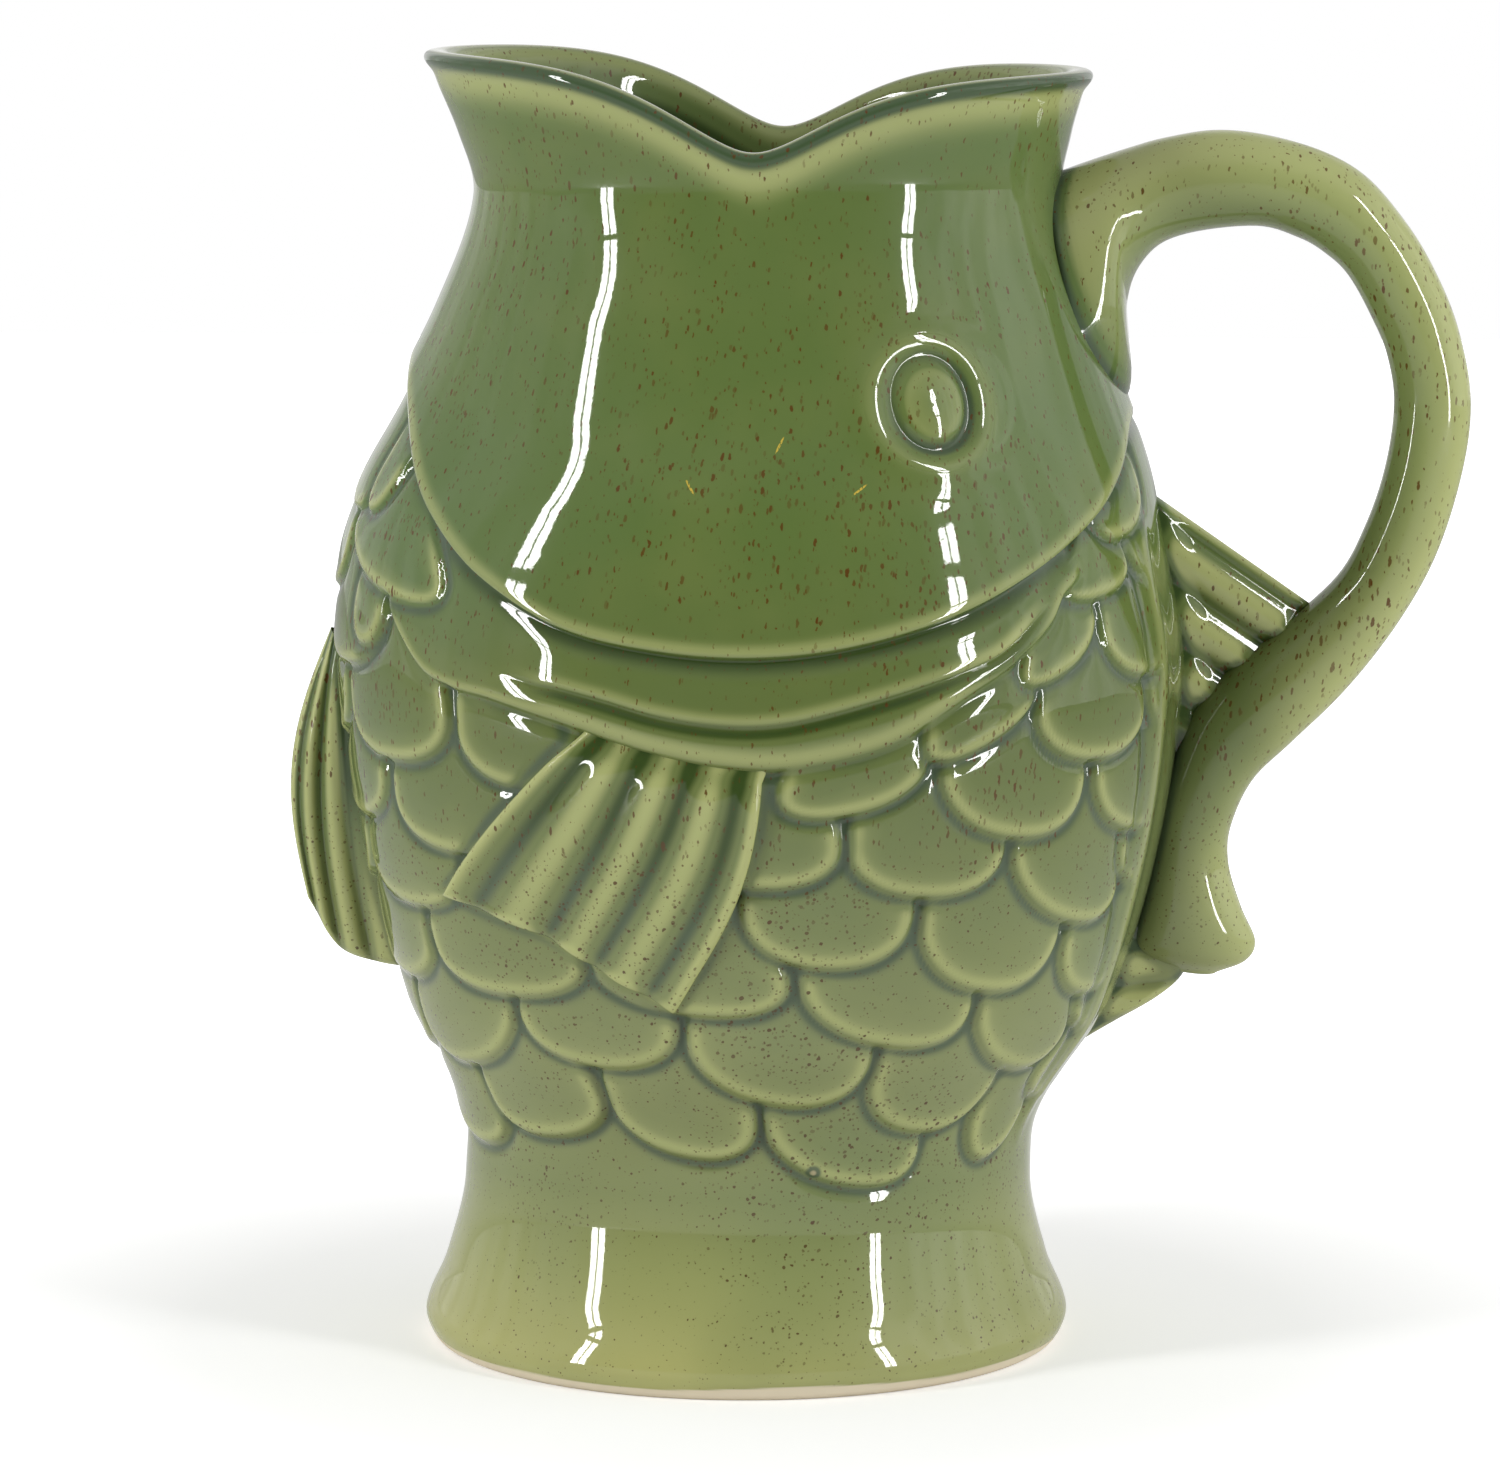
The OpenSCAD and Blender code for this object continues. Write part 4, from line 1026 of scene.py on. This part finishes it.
def floor():
    """A white floor; the camera sees it lighter than it is lit, and white away from the jug."""
    material = bpy.data.materials.new("floor")
    n = Nodes(material)
    away = n.vector("LENGTH", n.add("TexCoord").outputs["Object"])
    whiten, duller = (n.ramp(away, *levels, smooth=False) for levels in (WHITEN, DULLER))
    seen = n.calc("MULTIPLY", n.add("LightPath").outputs["Is Camera Ray"], whiten)
    n.principled({"Base Color": duller, "Roughness": 0.9, "Specular IOR Level": 0.0,
                  "Emission Color": WHITE, "Emission Strength": seen})
    mesh = bpy.data.meshes.new("floor")
    corners = [(-1, -1), (1, -1), (1, 1), (-1, 1)]
    mesh.from_pydata([(x * FLOOR_HALF, y * FLOOR_HALF, 0) for x, y in corners], [], [[0, 1, 2, 3]])
    mesh.materials.append(material)
    plane = put("floor", mesh)


floor()

# Levels in front, at the sides and overhead, and how much brighter the right is, in front and behind
FRONT_LIGHT, SIDE_LIGHT, TOP_LIGHT, RIGHT_LIGHT, BACK_RIGHT = 0.10, 0.75, 0.47, 1.9, 1.1
# Upright streaks: how flat their noise is, its scale and the levels that it runs between
STREAK_FLAT, STREAK_SCALE, STREAK_LEVELS = 0.08, 7.0, (0.75, 1.15)


def studio():
    """Dim in front, bright and a little streaky at the sides and behind, white to the camera."""
    world = bpy.data.worlds.new("studio")
    bpy.context.scene.world = world
    n = Nodes(world)
    direction = n.add("TexCoord").outputs["Generated"]
    x, y, z = n.split(direction)
    streaks = n.noise(n.vector("MULTIPLY", direction, (1, 1, STREAK_FLAT)), STREAK_SCALE, 2.0)
    right = n.blend(n.ramp(y, 0.1, 0.5), n.ramp(x, 0.3, 0.85, 1.0, RIGHT_LIGHT), BACK_RIGHT, "FLOAT")
    around = n.calc("MULTIPLY", right, n.ramp(y, -0.85, -0.2, FRONT_LIGHT, SIDE_LIGHT))
    around = n.calc("MULTIPLY", around, n.ramp(streaks, 0.35, 0.65, *STREAK_LEVELS))
    strength = n.blend(n.ramp(z, 0.5, 0.85, 0.0, 0.85), around, TOP_LIGHT, "FLOAT")
    pick = n.add("MixShader")
    n.join(n.add("LightPath").outputs["Is Camera Ray"], pick.inputs[0])
    for k, level in enumerate((strength, 1.0)):
        background = n.add("Background")
        n.join(WHITE, background.inputs[0])
        n.join(level, background.inputs[1])
        n.join(background.outputs[0], pick.inputs[k + 1])
    n.join(pick.outputs[0], n.add("OutputWorld").inputs[0])


studio()

PANEL_DISTANCE, PANEL_RADIANCE = 1.3, 28
# The windows: azimuth, width of a pane and half the angle between the two panes
WINDOWS = [("left", -57.0, 0.056, 1.55), ("right", 54.5, 0.046, 1.25)]
PANE_HEIGHTS = [("high", 0.745, 1.15), ("low", -0.25, 0.705)]


def panel(name, azimuth, width, low, high):
    """A tall soft light that faces the jug; azimuth in degrees from the front towards the back."""
    data = bpy.data.lights.new(name, "AREA")
    data.shape = "RECTANGLE"
    data.size, data.size_y = width, high - low
    data.energy = math.pi * width * (high - low) * PANEL_RADIANCE
    lamp = put(name, data)
    a = math.radians(azimuth)
    lamp.location = (PANEL_DISTANCE * math.sin(a), -PANEL_DISTANCE * math.cos(a), (low + high) / 2)
    lamp.rotation_euler = Vector((-math.sin(a), math.cos(a), 0)).to_track_quat("-Z", "Y").to_euler()


for side_name, window_azimuth, pane_w, turn in WINDOWS:
    for pane, pane_azimuth in enumerate((window_azimuth - turn, window_azimuth + turn)):
        for part, low, high in PANE_HEIGHTS:
            panel("pane_%s_%d_%s" % (side_name, pane, part), pane_azimuth, pane_w, low, high)

# Camera: a little above the jug and round to the back
AZIMUTH, ELEVATION, DISTANCE = math.radians(3.5), math.radians(8.0), 1.2
LOOK_Z, LOOK_RIGHT = 0.1069, 0.0007
MM_PER_PIXEL, PHOTO_W, SENSOR_W = 0.177, 1500, 36
forward = Vector((-math.sin(AZIMUTH) * math.cos(ELEVATION), math.cos(AZIMUTH) * math.cos(ELEVATION),
                  -math.sin(ELEVATION)))
rightward = Vector((math.cos(AZIMUTH), math.sin(AZIMUTH), 0))
camera_data = bpy.data.cameras.new("camera")
camera_data.sensor_width = SENSOR_W
camera_data.lens = SENSOR_W * (DISTANCE / MM / MM_PER_PIXEL) / PHOTO_W
camera_data.clip_end = 20
camera = put("camera", camera_data)
camera.location = Vector((0, 0, LOOK_Z)) + rightward * LOOK_RIGHT - forward * DISTANCE
camera.rotation_euler = forward.to_track_quat("-Z", "Y").to_euler()
bpy.context.scene.camera = camera
bpy.context.scene.view_settings.view_transform = "Standard"
